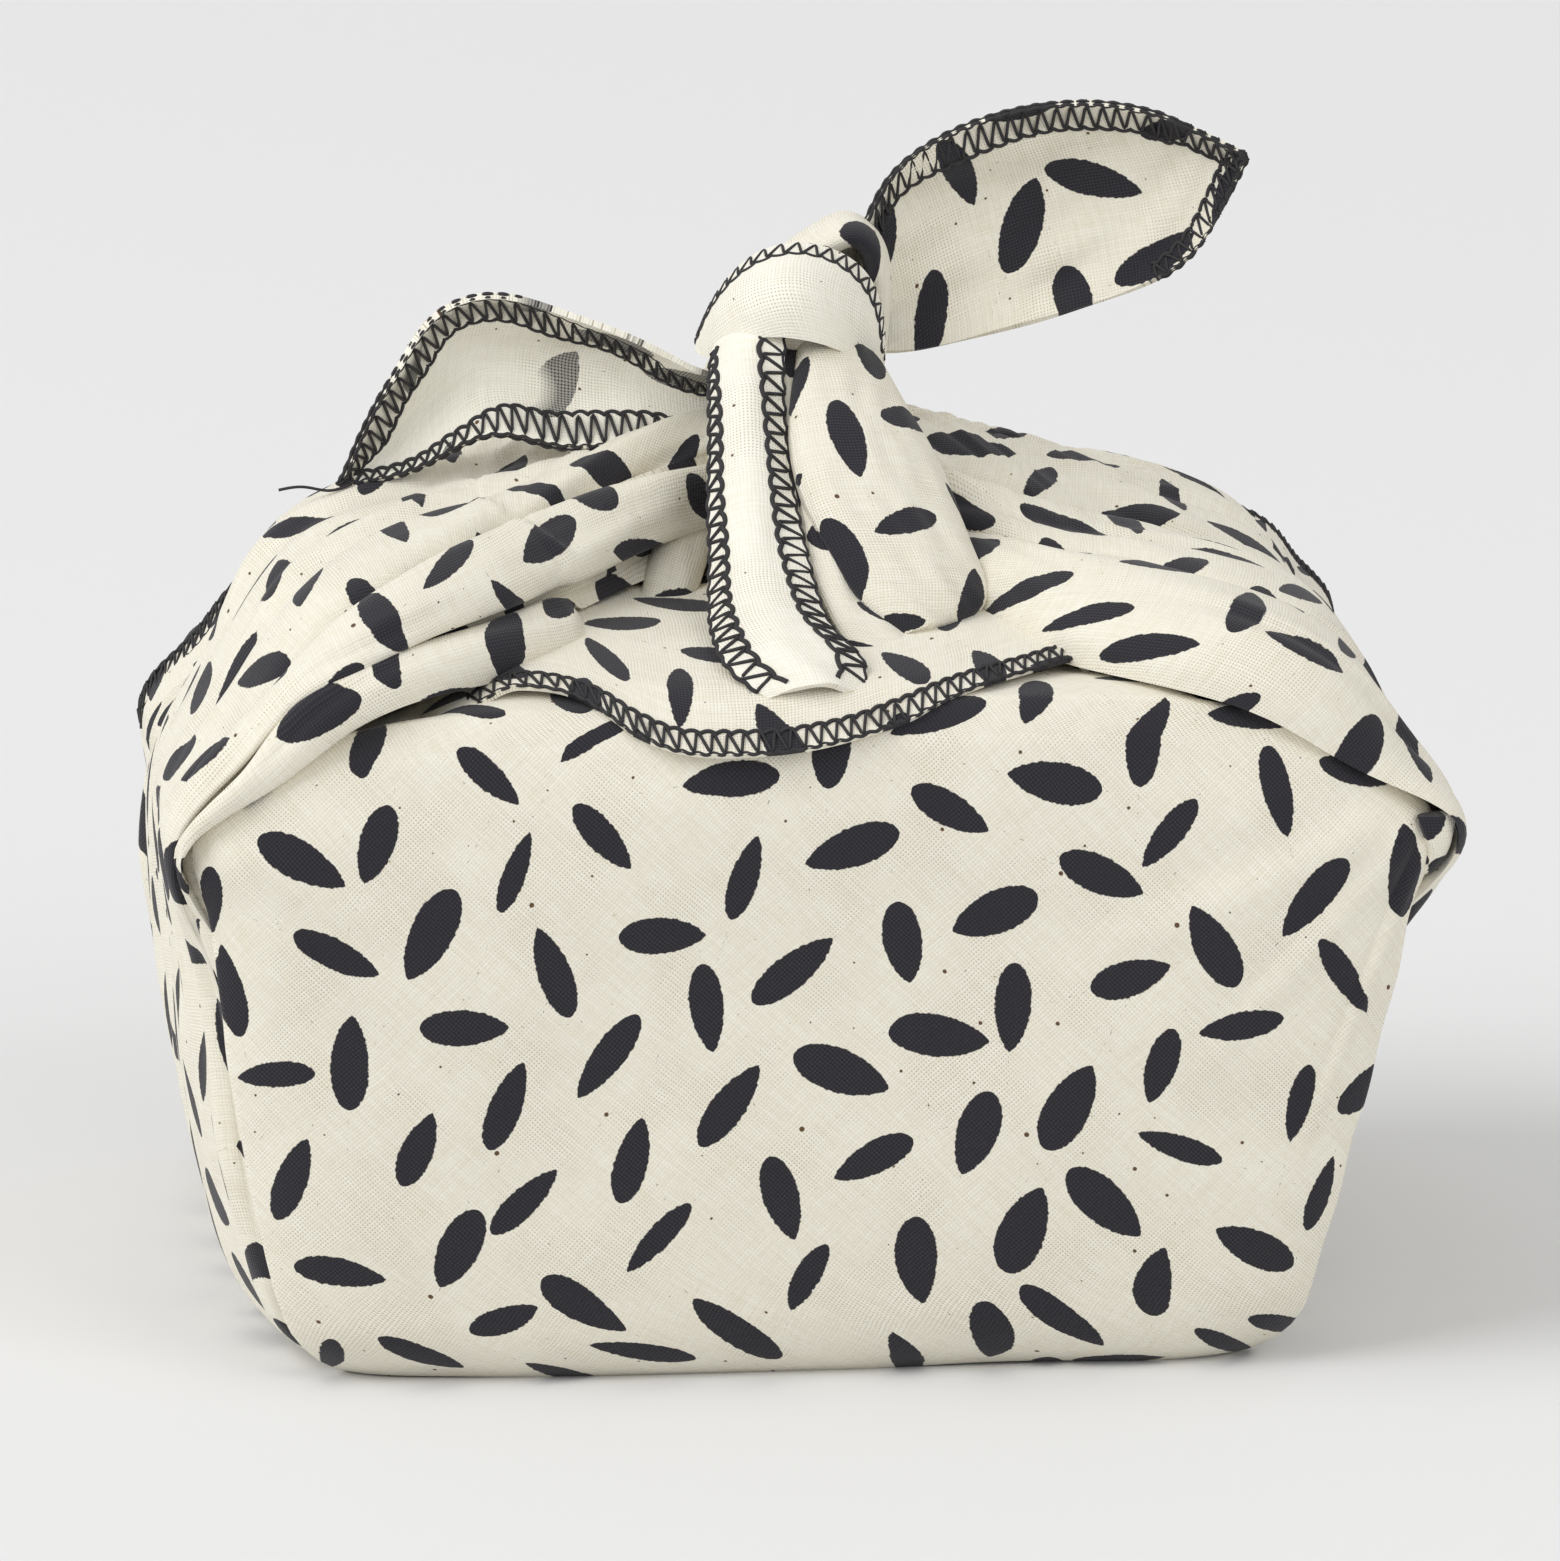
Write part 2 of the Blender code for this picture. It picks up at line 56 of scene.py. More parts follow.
Point = tuple[float, float, float]
Faces = list[Material]  # the material of a sheet's front, then of its back

MM = 0.001
FLAT_UV = "flat_cloth"
NODE = "cloth"
BODY = "root"

log = logging.getLogger("furoshiki")
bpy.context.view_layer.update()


class Side(Enum):
    """Which side of the wrap a gathered corner or a free end lies on."""

    LEFT = -1
    RIGHT = 1


class Face(Enum):
    """Which face of the printed cloth a patch shows: it is the material's place on the object."""

    PRINTED = 0
    PLAIN = 1


def natural_cubic(knots: Array, values: Array, at: Array) -> Array:
    """Reads a natural cubic spline at many places at once.

    The second derivative at each knot solves the usual three-banded system, and between two knots the
    curve is the straight blend of their values plus the cubic terms of both second derivatives.

    Args:
        knots: Growing parameter values, one for each row of values.
        values: The values at the knots, with any further axes.
        at: Where to read the curve.

    Returns:
        The curve's values, one row for each entry of at.
    """
    gap = np.diff(knots)
    last = len(knots) - 1
    flat = values.reshape(last + 1, -1)
    slopes = np.diff(flat, axis=0) / gap[:, None]
    system = np.eye(last + 1)
    inner = np.arange(1, last)
    system[inner, inner - 1] = gap[:-1]
    system[inner, inner] = 2 * (gap[:-1] + gap[1:])
    system[inner, inner + 1] = gap[1:]
    right = np.zeros_like(flat)
    right[1:last] = 6 * np.diff(slopes, axis=0)
    bend = np.linalg.solve(system, right)
    i = np.clip(np.searchsorted(knots, at, side="right") - 1, 0, last - 1)
    width = gap[i][:, None]
    before = (knots[i + 1] - at)[:, None] / width
    after = 1 - before
    curve = before * flat[i] + after * flat[i + 1]
    curve += ((before**3 - before) * bend[i] + (after**3 - after) * bend[i + 1]) * width**2 / 6
    return curve.reshape(len(at), *values.shape[1:])


def chord_knots(points: Array) -> Array:
    """Returns the running straight-line distance along a row of points, starting at 0."""
    steps = np.linalg.norm(np.diff(points, axis=0), axis=1)
    return np.concatenate([[0.0], np.cumsum(np.maximum(steps, 1e-6))])


def smooth_line(points: Array | Rows, count: int) -> Array:
    """Returns count points along the natural cubic through the given ones, evenly by chord length."""
    points = np.asarray(points, float)
    knots = chord_knots(points)
    return natural_cubic(knots, points, np.linspace(0, knots[-1], count))


def evenly(line: Array, count: int) -> Array:
    """Returns count points along a polyline, evenly spaced by its true length."""
    run = chord_knots(line)
    at = np.linspace(0, run[-1], count)
    return np.stack([np.interp(at, run, column) for column in line.T], axis=1)


def between(lines: list[Array], count: int) -> Array:
    """Returns a grid that runs smoothly across lines of equal length, by a natural cubic."""
    stack = np.array(lines)
    across = natural_cubic(np.arange(len(lines), dtype=float), stack, np.linspace(0, len(lines) - 1, count))
    return across.transpose(1, 0, 2)


def grid_normals(grid: Array) -> Array:
    """Returns unit normals of a grid: the cross product of its two direction vectors at each point."""
    normal = np.cross(np.gradient(grid, axis=0), np.gradient(grid, axis=1))
    return normal / np.maximum(np.linalg.norm(normal, axis=2, keepdims=True), 1e-9)


def run_along(grid: Array, axis: int) -> Array:
    """Returns each point's distance from the grid's first row (axis 0) or first column (axis 1)."""
    steps = np.linalg.norm(np.diff(grid, axis=axis), axis=2)
    start = np.zeros_like(np.take(steps, [0], axis=axis))
    return np.concatenate([start, np.cumsum(steps, axis=axis)], axis=axis)


def flat_from(grid: Array, origin: tuple[float, float], turn: float = 0.0) -> Array:
    """Lays a grid out flat: the distance across each row from its middle, and along the middle column.

    Args:
        grid: Rows by columns by 3.
        origin: Where on the flat cloth the grid's first row has its middle.
        turn: How far the cloth's threads are turned against the grid, in degrees.

    Returns:
        Rows by columns by 2, in millimetres on the flat cloth.
    """
    across = run_along(grid, 1)
    middle = across.shape[1] // 2
    u = across - across[:, middle : middle + 1]
    v = run_along(grid, 0)
    c, s = math.cos(math.radians(turn)), math.sin(math.radians(turn))
    return np.stack([origin[0] + c * u - s * v, origin[1] + s * u + c * v], axis=2)


def soft_step(low: float, high: float, value: Array) -> Array:
    """Returns a smooth step: 0 below low, 1 above high, and the cubic 3t^2 - 2t^3 between them."""
    t = np.clip((value - low) / (high - low), 0, 1)
    return t * t * (3 - 2 * t)


def ripple(u: Array, v: Array, seed: int, length: float, stretch: float, waves: int = 9) -> Array:
    """Returns an uneven ripple of about unit height over the flat cloth.

    It is the mean of sine waves whose directions lie mostly across v, with lengths around the given
    one, and each has its own seeded phase.

    Args:
        u: Distance across the folds, in millimetres.
        v: Distance along the folds, in millimetres.
        seed: Seed of the phases.
        length: Typical wave length across, in millimetres.
        stretch: How many times longer a wave is along the folds than across them.
        waves: How many sine waves are summed.
    """
    rng = np.random.default_rng(seed)
    total = np.zeros_like(u)
    for _ in range(waves):
        scale = 2 * np.pi / (length * rng.uniform(0.6, 1.7))
        lean = rng.normal(0, 1.0) / stretch
        total += np.sin(scale * (u + lean * v) + rng.uniform(0, 6.28))
    return total / math.sqrt(waves)


def ripple_over(grid: Array, seed: int, length: float, stretch: float, axis: int = 1) -> Array:
    """Returns the ripple over a grid, its folds lying across the given axis."""
    return ripple(run_along(grid, axis), run_along(grid, 1 - axis), seed, length, stretch)


def straight_between(one: Array, other: Array, count: int) -> Array:
    """Returns a grid that runs straight across from one line to another one."""
    across = np.linspace(0, 1, count)[None, :, None]
    return one[:, None] * (1 - across) + other[:, None] * across


def raised(grid: Array, height: Array) -> Array:
    """Moves a grid along its own normals."""
    return grid + grid_normals(grid) * height[:, :, None]


@dataclass
class ClothMesh:
    """Collects patches of one piece's surface, then makes the mesh with its flat-cloth UV map."""

    name: str
    points: list[Array] = field(default_factory=list)
    quads: list[Array] = field(default_factory=list)
    flats: list[Array] = field(default_factory=list)
    faces: list[Array] = field(default_factory=list)
    caps: list[tuple[Array, Array]] = field(default_factory=list)
    count: int = 0

    def add(self, grid: Array) -> Index:
        """Adds a grid of points and returns their indices, shaped as the grid."""
        self.points.append(grid.reshape(-1, 3))
        index = np.arange(self.count, self.count + grid.shape[0] * grid.shape[1])
        self.count += len(index)
        return index.reshape(grid.shape[:2])

    def patch(self, index: Index, flat: Array, face: Face = Face.PRINTED) -> None:
        """Adds the quads of an index grid, with the flat position of each of its points."""
        corners = (slice(None, -1), slice(1, None))
        order = [(0, 0), (0, 1), (1, 1), (1, 0)]
        self.quads.append(np.stack([index[corners[r], corners[c]].ravel() for r, c in order], axis=1))
        self.flats.append(np.stack([flat[corners[r], corners[c]].reshape(-1, 2) for r, c in order], axis=1))
        self.faces.append(np.full(len(self.quads[-1]), face.value))

    def close_rim(self, front: Index, back: Index, flat: Array, depth: float = 0.0) -> None:
        """Joins two index grids of one shape along their four sides.

        Args:
            front: The outer grid's indices.
            back: The inner grid's indices.
            flat: The outer grid's places on the flat cloth.
            depth: How much cloth the closing strips take, from front to back.
        """
        rows = (np.s_[0, :], (0, -1)), (np.s_[-1, :], (0, 1))
        columns = (np.s_[:, 0], (-1, 0)), (np.s_[:, -1], (1, 0))
        for pick, shift in rows + columns:
            beyond = flat[pick] + depth * np.array(shift)
            self.patch(np.stack([front[pick], back[pick]]), np.stack([flat[pick], beyond]))

    def cap(self, ring: Index, flat: Array) -> None:
        """Closes a ring of points with one face."""
        self.caps.append((ring, flat))

    def add_round(self, grid: Array) -> Index:
        """Adds a grid whose last column stands for its first one, and returns indices that meet there."""
        index = self.add(grid[:, :-1])
        return np.concatenate([index, index[:, :1]], axis=1)

    def build(self, finishes: Faces) -> Object:
        """Makes the object, with its normals pointing out and one material for each face of the cloth."""
        points = np.concatenate(self.points) * MM
        quads = np.concatenate(self.quads)
        uv = np.concatenate(self.flats).reshape(-1, 2) * MM
        slots = np.concatenate(self.faces)
        polygons = quads.tolist() + [ring.tolist() for ring, _ in self.caps]
        mesh = bpy.data.meshes.new(self.name)
        mesh.from_pydata(points.tolist(), [], polygons)
        layer = mesh.uv_layers.new(name=FLAT_UV)
        for _, flat in self.caps:
            uv = np.concatenate([uv, flat * MM])
        layer.data.foreach_set("uv", uv.astype(np.float32).ravel())
        slots = np.concatenate([slots, np.zeros(len(self.caps), int)])
        mesh.polygons.foreach_set("material_index", slots.astype(np.int32))
        for finish in finishes:
            mesh.materials.append(finish)
        return placed(mesh, sharp_from=58.0)


def link(obj: Object) -> Object:
    """Puts an object into the scene and returns it."""
    bpy.context.scene.collection.objects.link(obj)
    return obj


def placed(mesh: Mesh, sharp_from: float | None = None) -> Object:
    """Makes a piece of the wrap from a closed mesh.

    Args:
        mesh: Its surface. The normals are turned outwards and shaded smooth.
        sharp_from: The least angle of an edge that stays sharp, in degrees, or None for no such edge.
    """
    edit = bmesh.new()
    edit.from_mesh(mesh)
    bmesh.ops.recalc_face_normals(edit, faces=edit.faces)
    edit.to_mesh(mesh)
    edit.free()
    mesh.shade_smooth()
    if sharp_from is not None:
        mesh.set_sharp_from_angle(angle=math.radians(sharp_from))
    obj = link(bpy.data.objects.new(mesh.name, mesh))
    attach(obj, BODY)
    return obj


def round_piece(name: str, grid: Array, flat: Array, caps: Array, finishes: Faces) -> Object:
    """Makes a padded piece from rings of points, closed with one face at either end.

    Args:
        name: The piece's name.
        grid: Rings by points by 3. The last point of each ring takes the place of the first one.
        flat: The grid's places on the flat cloth.
        caps: The same for the two closing faces, whose first and last rows are used.
        finishes: The printed face's material, then the plain face's.
    """
    piece = ClothMesh(name)
    index = piece.add_round(grid)
    piece.patch(index, flat)
    for end in (0, -1):
        piece.cap(index[end, :-1], caps[end, :-1])
    obj = piece.build(finishes)
    return obj


def forward(left: Array, right: Array) -> Array:
    """Returns unit vectors across the strip between two lines, on the whole towards the front."""
    out = np.cross(np.gradient(left + right, axis=0), right - left)
    out /= np.linalg.norm(out, axis=1, keepdims=True)
    return out * np.sign(-out[:, 1].mean())


def facing(normal: Array, way: Array) -> Array:
    """Returns the normals, or their opposites where on the whole they look against a direction."""
    return normal * np.sign((normal * way).sum())


def sheet_between(name: str, grid: Array, flat: Array, thickness: float, faces: Faces, outside: Array,
                  held: str | None = None) -> Object:
    """Makes a closed sheet half its thickness to both sides of a grid.

    Args:
        name: The piece's name.
        grid: Rows by columns by 3, in millimetres.
        flat: The grid's places on the flat cloth.
        thickness: Of the cloth, in millimetres.
        faces: The materials of its outer and its inner face.
        outside: A direction that the outer face looks towards.
        held: How a free sheet is held, or None. Where it is given, the sheet's length and cell areas are
            measured.
    """
    normal = grid_normals(grid)
    if (normal * outside).sum(axis=2).mean() < 0:
        normal = -normal
    piece = ClothMesh(name)
    front = piece.add(grid + normal * thickness / 2)
    back = piece.add(grid - normal * thickness / 2)
    piece.patch(front, flat, Face.PRINTED)
    piece.patch(back, flat, Face.PLAIN)
    piece.close_rim(front, back, flat)
    obj = piece.build(faces)
    if held:
        declare_sheet(grid)
    return obj


def declare_sheet(grid: Array) -> None:
    """Measures a sheet's length along its grid, in metres, and the areas of its cells, and keeps neither."""
    length = float(run_along(grid, 0)[-1].mean()) * MM
    steps = np.linalg.norm(np.cross(np.diff(grid, axis=0)[:, :-1], np.diff(grid, axis=1)[:-1]), axis=2)


@dataclass(frozen=True)
class BundleShape:
    """Sizes of the filled bundle that every stretch of the cloth lies on, in millimetres."""

    half_width: float = 83.0
    half_depth: float = 67.0
    rim_front: float = 87.0
    rim_left: float = 77.0
    rim_right: float = 71.0
    rim_corner: float = 75.0
    corner_drop: float = 5.0
    crown: float = 96.0
    dome: float = 2.6
    dome_edge: float = 0.72
    squareness: float = 10.0
    wall: Rows = (
        # height, left, right, front, back, squareness
        (0.000, 0.800, 0.700, 0.810, 0.810, 5.0),
        (0.030, 0.860, 0.758, 0.868, 0.865, 4.8),
        (0.095, 0.912, 0.798, 0.912, 0.905, 4.8),
        (0.240, 0.952, 0.832, 0.942, 0.936, 5.0),
        (0.480, 0.988, 0.892, 0.966, 0.962, 5.6),
        (0.720, 1.003, 0.940, 0.982, 0.980, 7.0),
        (0.900, 0.994, 0.960, 0.984, 0.984, 9.0),
        (1.000, 0.972, 0.942, 0.960, 0.960, 10.0),
    )

    def rim_height(self, x_share: Array, y_share: Array) -> Array:
        """Returns the rim's height: the middle of each side stands higher than the corners.

        The middle's height falls to the corner's by the fifth power of how near the corner is.
        """
        wide, deep = np.abs(x_share), np.abs(y_share)
        near = np.minimum(wide, deep) / np.maximum(np.maximum(wide, deep), 1e-9)
        side = np.where(x_share < 0, self.rim_left, self.rim_right)
        middle = np.where(deep > wide, self.rim_front, side)
        return middle - (middle - self.rim_corner) * near**self.corner_drop

    def roof_height(self, x: Array, y: Array) -> Array:
        """Returns the domed top's height over a point: rim plus rise times (1 - reach^a)^b."""
        x_share, y_share = x / self.half_width, y / self.half_depth
        power = self.squareness
        reach = (np.abs(x_share) ** power + np.abs(y_share) ** power) ** (1 / power)
        rim = self.rim_height(x_share, y_share)
        rise = np.maximum(1 - np.minimum(reach, 1) ** self.dome, 0) ** self.dome_edge
        return rim + (self.crown - rim) * rise

    def wall_sizes(self, height: Array) -> Array:
        """Returns left, right, front, back and squareness at heights, by a cubic through the table."""
        table = np.array(self.wall)
        sizes = natural_cubic(table[:, 0], table[:, 1:], np.ravel(height))
        straight = np.stack([np.interp(np.ravel(height), table[:, 0], c) for c in table[:, 1:].T], axis=1)
        return 0.6 * sizes + 0.4 * straight

    def wall_grid(self, heights: Array, turns: Array, squareness: Array | None = None,
                  proud: Array | float = 0.0) -> Array:
        """Returns level sections of the wall: superellipses |x/a|^n + |y/b|^n = 1.

        Args:
            heights: Shares of the rim's height, one for each row.
            turns: Angles round the plan, one for each column.
            squareness: The power n for each row, or None for the table's.
            proud: How far the section stands off the bundle, for each column.
        """
        left, right, front, back, power = self.wall_sizes(heights).T[:, :, None]
        power = power if squareness is None else squareness[:, None]
        c, s = np.cos(turns)[None], np.sin(turns)[None]
        width = np.where(c < 0, left, right) * self.half_width + proud
        depth = np.where(s < 0, front, back) * self.half_depth + proud
        x = width * np.sign(c) * np.abs(c) ** (2 / power)
        y = depth * np.sign(s) * np.abs(s) ** (2 / power)
        z = heights[:, None] * self.rim_height(x / width, y / depth)
        return np.stack([x, y, z], axis=2)

    def roof_grid(self, reaches: Array, turns: Array, proud: Array | float = 0.0) -> Array:
        """Returns sections of the domed top, each a share of the rim's outline."""
        ring = self.wall_grid(np.array([1.0]), turns)[0]
        x = ring[None, :, 0] * reaches[:, None]
        y = ring[None, :, 1] * reaches[:, None]
        return np.stack([x, y, self.roof_height(x, y) + proud], axis=2)

    def plan_turns(self, count: int, low: float = 0.0, high: float = 2 * math.pi) -> Array:
        """Returns angles between low and high, spaced by the outline's length and by its turning."""
        turn = np.linspace(low, high, 4001)
        ring = self.wall_grid(np.array([0.6]), turn)[0]
        step = np.hypot(np.diff(ring[:, 0]), np.diff(ring[:, 1]))
        bend = np.abs(np.diff(np.unwrap(np.arctan2(np.diff(ring[:, 1]), np.diff(ring[:, 0])))))
        measure = step / step.sum() + 0.6 * np.append(bend, 0) / bend.sum()
        run = np.concatenate([[0.0], np.cumsum(measure)])
        return np.interp(np.linspace(0, run[-1], count), run, turn)


class NodeMaker:
    """Helps to wire a node tree: nodes, links and arithmetic."""

    def __init__(self, tree: NodeTree) -> None:
        """Starts on a tree."""
        self.tree = tree

    def put(self, kind: str, **settings: object) -> Node:
        """Adds a shader node of a kind, such as Math, and sets its properties."""
        node = self.tree.nodes.new(f"ShaderNode{kind}")
        for key, value in settings.items():
            setattr(node, key, value)
        return node

    def wire(self, source: object, target: NodeSocket) -> None:
        """Links a socket, or sets plain numbers, into an input."""
        if isinstance(source, NodeSocket):
            self.tree.links.new(source, target)
        else:
            target.default_value = source

    def feed(self, node: Node, values: dict[str, object]) -> Node:
        """Wires a node's inputs by their names and returns the node."""
        for key, value in values.items():
            self.wire(value, node.inputs[key])
        return node

    def math(self, operation: str, *values: object) -> NodeSocket:
        """Adds a math node over sockets or numbers and returns its result."""
        return self.feed(self.put("Math", operation=operation), dict(enumerate(values))).outputs[0]

    def add(self, one: object, other: object) -> NodeSocket:
        """Returns a sum."""
        return self.math("ADD", one, other)

    def sub(self, one: object, other: object) -> NodeSocket:
        """Returns a difference."""
        return self.math("SUBTRACT", one, other)

    def mul(self, one: object, other: object) -> NodeSocket:
        """Returns a product."""
        return self.math("MULTIPLY", one, other)

    def vector(self, operation: str, *values: object) -> NodeSocket:
        """Adds a vector math node and returns its vector."""
        return self.feed(self.put("VectorMath", operation=operation), dict(enumerate(values))).outputs[0]

    def scaled(self, value: NodeSocket, factor: float) -> NodeSocket:
        """Returns a vector times a number."""
        return self.feed(self.put("VectorMath", operation="SCALE"), {0: value, "Scale": factor}).outputs[0]

    def split(self, value: NodeSocket) -> tuple[NodeSocket, NodeSocket]:
        """Returns the X and Y of a vector."""
        node = self.feed(self.put("SeparateXYZ"), {0: value})
        return node.outputs[0], node.outputs[1]

    def remap(self, value: NodeSocket, low: float, high: float, to_low: float, to_high: float,
              way: str = "SMOOTHSTEP") -> NodeSocket:
        """Maps a range onto another one, smoothly or in the given way, and clamps it."""
        names = ("Value", "From Min", "From Max", "To Min", "To Max")
        node = self.put("MapRange", interpolation_type=way)
        return self.feed(node, dict(zip(names, (value, low, high, to_low, to_high)))).outputs[0]

    def noise(self, place: NodeSocket, scale: float, detail: float, space: str = "2D") -> Node:
        """Adds a noise texture."""
        node = self.put("TexNoise", noise_dimensions=space)
        return self.feed(node, {"Vector": place, "Scale": scale, "Detail": detail})

    def blend(self, factor: NodeSocket, low: object, high: object) -> NodeSocket:
        """Blends two colours, each a socket or a plain colour, by a factor."""
        low, high = ((*c, 1) if isinstance(c, tuple) else c for c in (low, high))
        node = self.put("Mix", data_type="RGBA")
        return self.feed(node, {"Factor": factor, "A": low, "B": high}).outputs["Result"]


class GroupMaker(NodeMaker):
    """Makes a shader node group, with its input and output nodes at hand."""

    def __init__(self, name: str, takes: dict[str, str], gives: tuple[str, ...]) -> None:
        """Starts a group from its inputs' names and kinds and the names of its plain number outputs."""
        super().__init__(bpy.data.node_groups.new(name, "ShaderNodeTree"))
        self.start = self.tree.nodes.new("NodeGroupInput")
        self.end = self.tree.nodes.new("NodeGroupOutput")
        for key, kind in takes.items():
            self.tree.interface.new_socket(name=key, in_out="INPUT", socket_type=f"NodeSocket{kind}")
        for key in gives:
            self.tree.interface.new_socket(name=key, in_out="OUTPUT", socket_type="NodeSocketFloat")


class MaterialMaker(NodeMaker):
    """Makes a material, with its shader at hand."""

    def __init__(self, name: str) -> None:
        """Starts a material that uses nodes."""
        self.material = bpy.data.materials.new(name)
        self.material.use_nodes = True
        super().__init__(self.material.node_tree)
        self.shader = self.tree.nodes["Principled BSDF"]

    def bump(self, height: NodeSocket, strength: float, distance: float) -> NodeSocket:
        """Returns a normal that follows a height."""
        values = {"Strength": strength, "Distance": distance, "Height": height}
        return self.feed(self.put("Bump"), values).outputs["Normal"]

    def finish(self, values: dict[str, object]) -> Material:
        """Wires the shader's inputs by their names and returns the material."""
        self.feed(self.shader, values)
        return self.material


@dataclass(frozen=True)
class ThreadFinish:
    """Black spun thread of the overlock edging."""

    color: Color = (0.012, 0.011, 0.012)
    lighter: float = 3.2  # how many times lighter the fibres are that stand out
    roughness: float = 0.75
    ply_length: float = 0.0007
    bump_strength: float = 0.35
    bump_height: float = 0.0001

    def build(self) -> Material:
        """Makes the thread's material: dark, with a fine fibre grain in its tone and its bump."""
        m = MaterialMaker("overlock_thread")
        grain = m.noise(m.put("TexCoord").outputs["Object"], 1 / self.ply_length, 3.0, "3D").outputs[0]
        return m.finish({
            "Base Color": m.blend(grain, self.color, tuple(self.lighter * c for c in self.color)),
            "Normal": m.bump(grain, self.bump_strength, self.bump_height),
            "Roughness": self.roughness,
        })


@dataclass(frozen=True)
class SeedPrint:
    """Scattered seed-shaped marks, one in each cell of a loose grid, laid out by rule."""

    pitch: float = 13.7 * MM
    wander: float = 0.15  # how far a mark strays from its cell's middle, in cells
    half_length: float = 0.50  # of the longest mark, in cells
    least_length: float = 0.78  # of the shortest mark, as a share of the longest
    slimness: float = 0.29  # least half width over half length
    fatness: float = 0.19  # what the fattest mark has on top of that
    round_power: float = 0.52  # how blunt the round end is
    point_power: float = 0.70  # how sharp the pointed end is
    swing: float = 52.0  # how far a mark turns from its cell's own direction, in degrees
    ragged: float = 0.034  # unevenness of the edge, in cells
    ragged_scale: float = 21.0  # how many uneven places a cell has
    lattice_turn: float = 24.0  # of the grid against the cloth's threads, in degrees

    def one_mark(self) -> NodeTree:
        """Makes the group that draws the mark of one cell.

        In the mark's own axes a runs along it and b across. With t = a / L, the half width is
        W (1 - t)^0.52 (1 + t)^0.70, round at one end and pointed at the other, and the mark covers
        every |b| below that.
        """
        takes = {"Place": "Vector", "Shift": "Vector", "Rough Edge": "Float"}
        g = GroupMaker("seed_of_a_cell", takes, ("Cover",))
        place = g.start.outputs["Place"]
        near = g.vector("FLOOR", g.vector("SUBTRACT", place, (0.5, 0.5, 0.0)))
        cell = g.vector("ADD", near, g.start.outputs["Shift"])
        luck, more = (g.feed(g.put("TexWhiteNoise", noise_dimensions="2D"), {"Vector": at})
                      for at in (cell, g.vector("ADD", cell, (57.0, 31.0, 0.0))))
        stray = g.scaled(g.vector("SUBTRACT", luck.outputs["Color"], (0.5, 0.5, 0.5)), 2 * self.wander)
        middle = g.vector("ADD", g.vector("ADD", cell, (0.5, 0.5, 0.0)), stray)
        x, y = g.split(g.vector("SUBTRACT", place, middle))
        odd = g.math("MODULO", g.math("ABSOLUTE", g.add(*g.split(cell))), 2.0)
        chance = g.feed(g.put("SeparateColor"), {0: more.outputs["Color"]}).outputs
        swing = g.mul(g.sub(chance[0], 0.5), math.radians(2 * self.swing))
        turn = g.add(g.mul(odd, math.pi / 2), swing)
        c, s = g.math("COSINE", turn), g.math("SINE", turn)
        along = g.add(g.mul(x, c), g.mul(y, s))
        across = g.sub(g.mul(y, c), g.mul(x, s))
        half = g.mul(self.half_length, g.add(self.least_length, g.mul(chance[1], 1 - self.least_length)))
        way = g.math("SIGN", g.sub(chance[2], 0.5))
        t = g.mul(g.math("DIVIDE", along, half), way)
        round_end = g.math("POWER", g.math("MAXIMUM", g.sub(1.0, t), 0.0), self.round_power)
        point_end = g.math("POWER", g.math("MAXIMUM", g.add(1.0, t), 0.0), self.point_power)
        slim = g.add(self.slimness, g.mul(luck.outputs["Value"], self.fatness))
        width = g.mul(g.mul(half, slim), g.mul(round_end, point_end))
        edge = g.sub(width, g.math("ABSOLUTE", across))
        rough = g.add(edge, g.mul(g.start.outputs["Rough Edge"], self.ragged))
        g.wire(g.remap(rough, 0.0, 0.012, 0.0, 1.0), g.end.inputs["Cover"])
        return g.tree

    def build(self) -> NodeTree:
        """Makes the group that covers the cloth: the most of the four cells nearest to each point."""
        mark = self.one_mark()
        g = GroupMaker("seed_print", {"Flat Cloth": "Vector"}, ("Cover",))
        turned = g.feed(g.put("VectorRotate", rotation_type="Z_AXIS"),
                        {"Vector": g.start.outputs["Flat Cloth"], "Angle": math.radians(self.lattice_turn)})
        place = g.scaled(turned.outputs[0], 1 / self.pitch)
        uneven = g.sub(g.noise(place, self.ragged_scale, 2.0).outputs[0], 0.5)
        covers = [
            g.feed(g.put("Group", node_tree=mark),
                   {"Place": place, "Shift": (column, row, 0.0), "Rough Edge": uneven}).outputs["Cover"]
            for row in (0.0, 1.0) for column in (0.0, 1.0)
        ]
        most = g.math("MAXIMUM", g.math("MAXIMUM", *covers[:2]), g.math("MAXIMUM", *covers[2:]))
        g.wire(most, g.end.inputs["Cover"])
        return g.tree


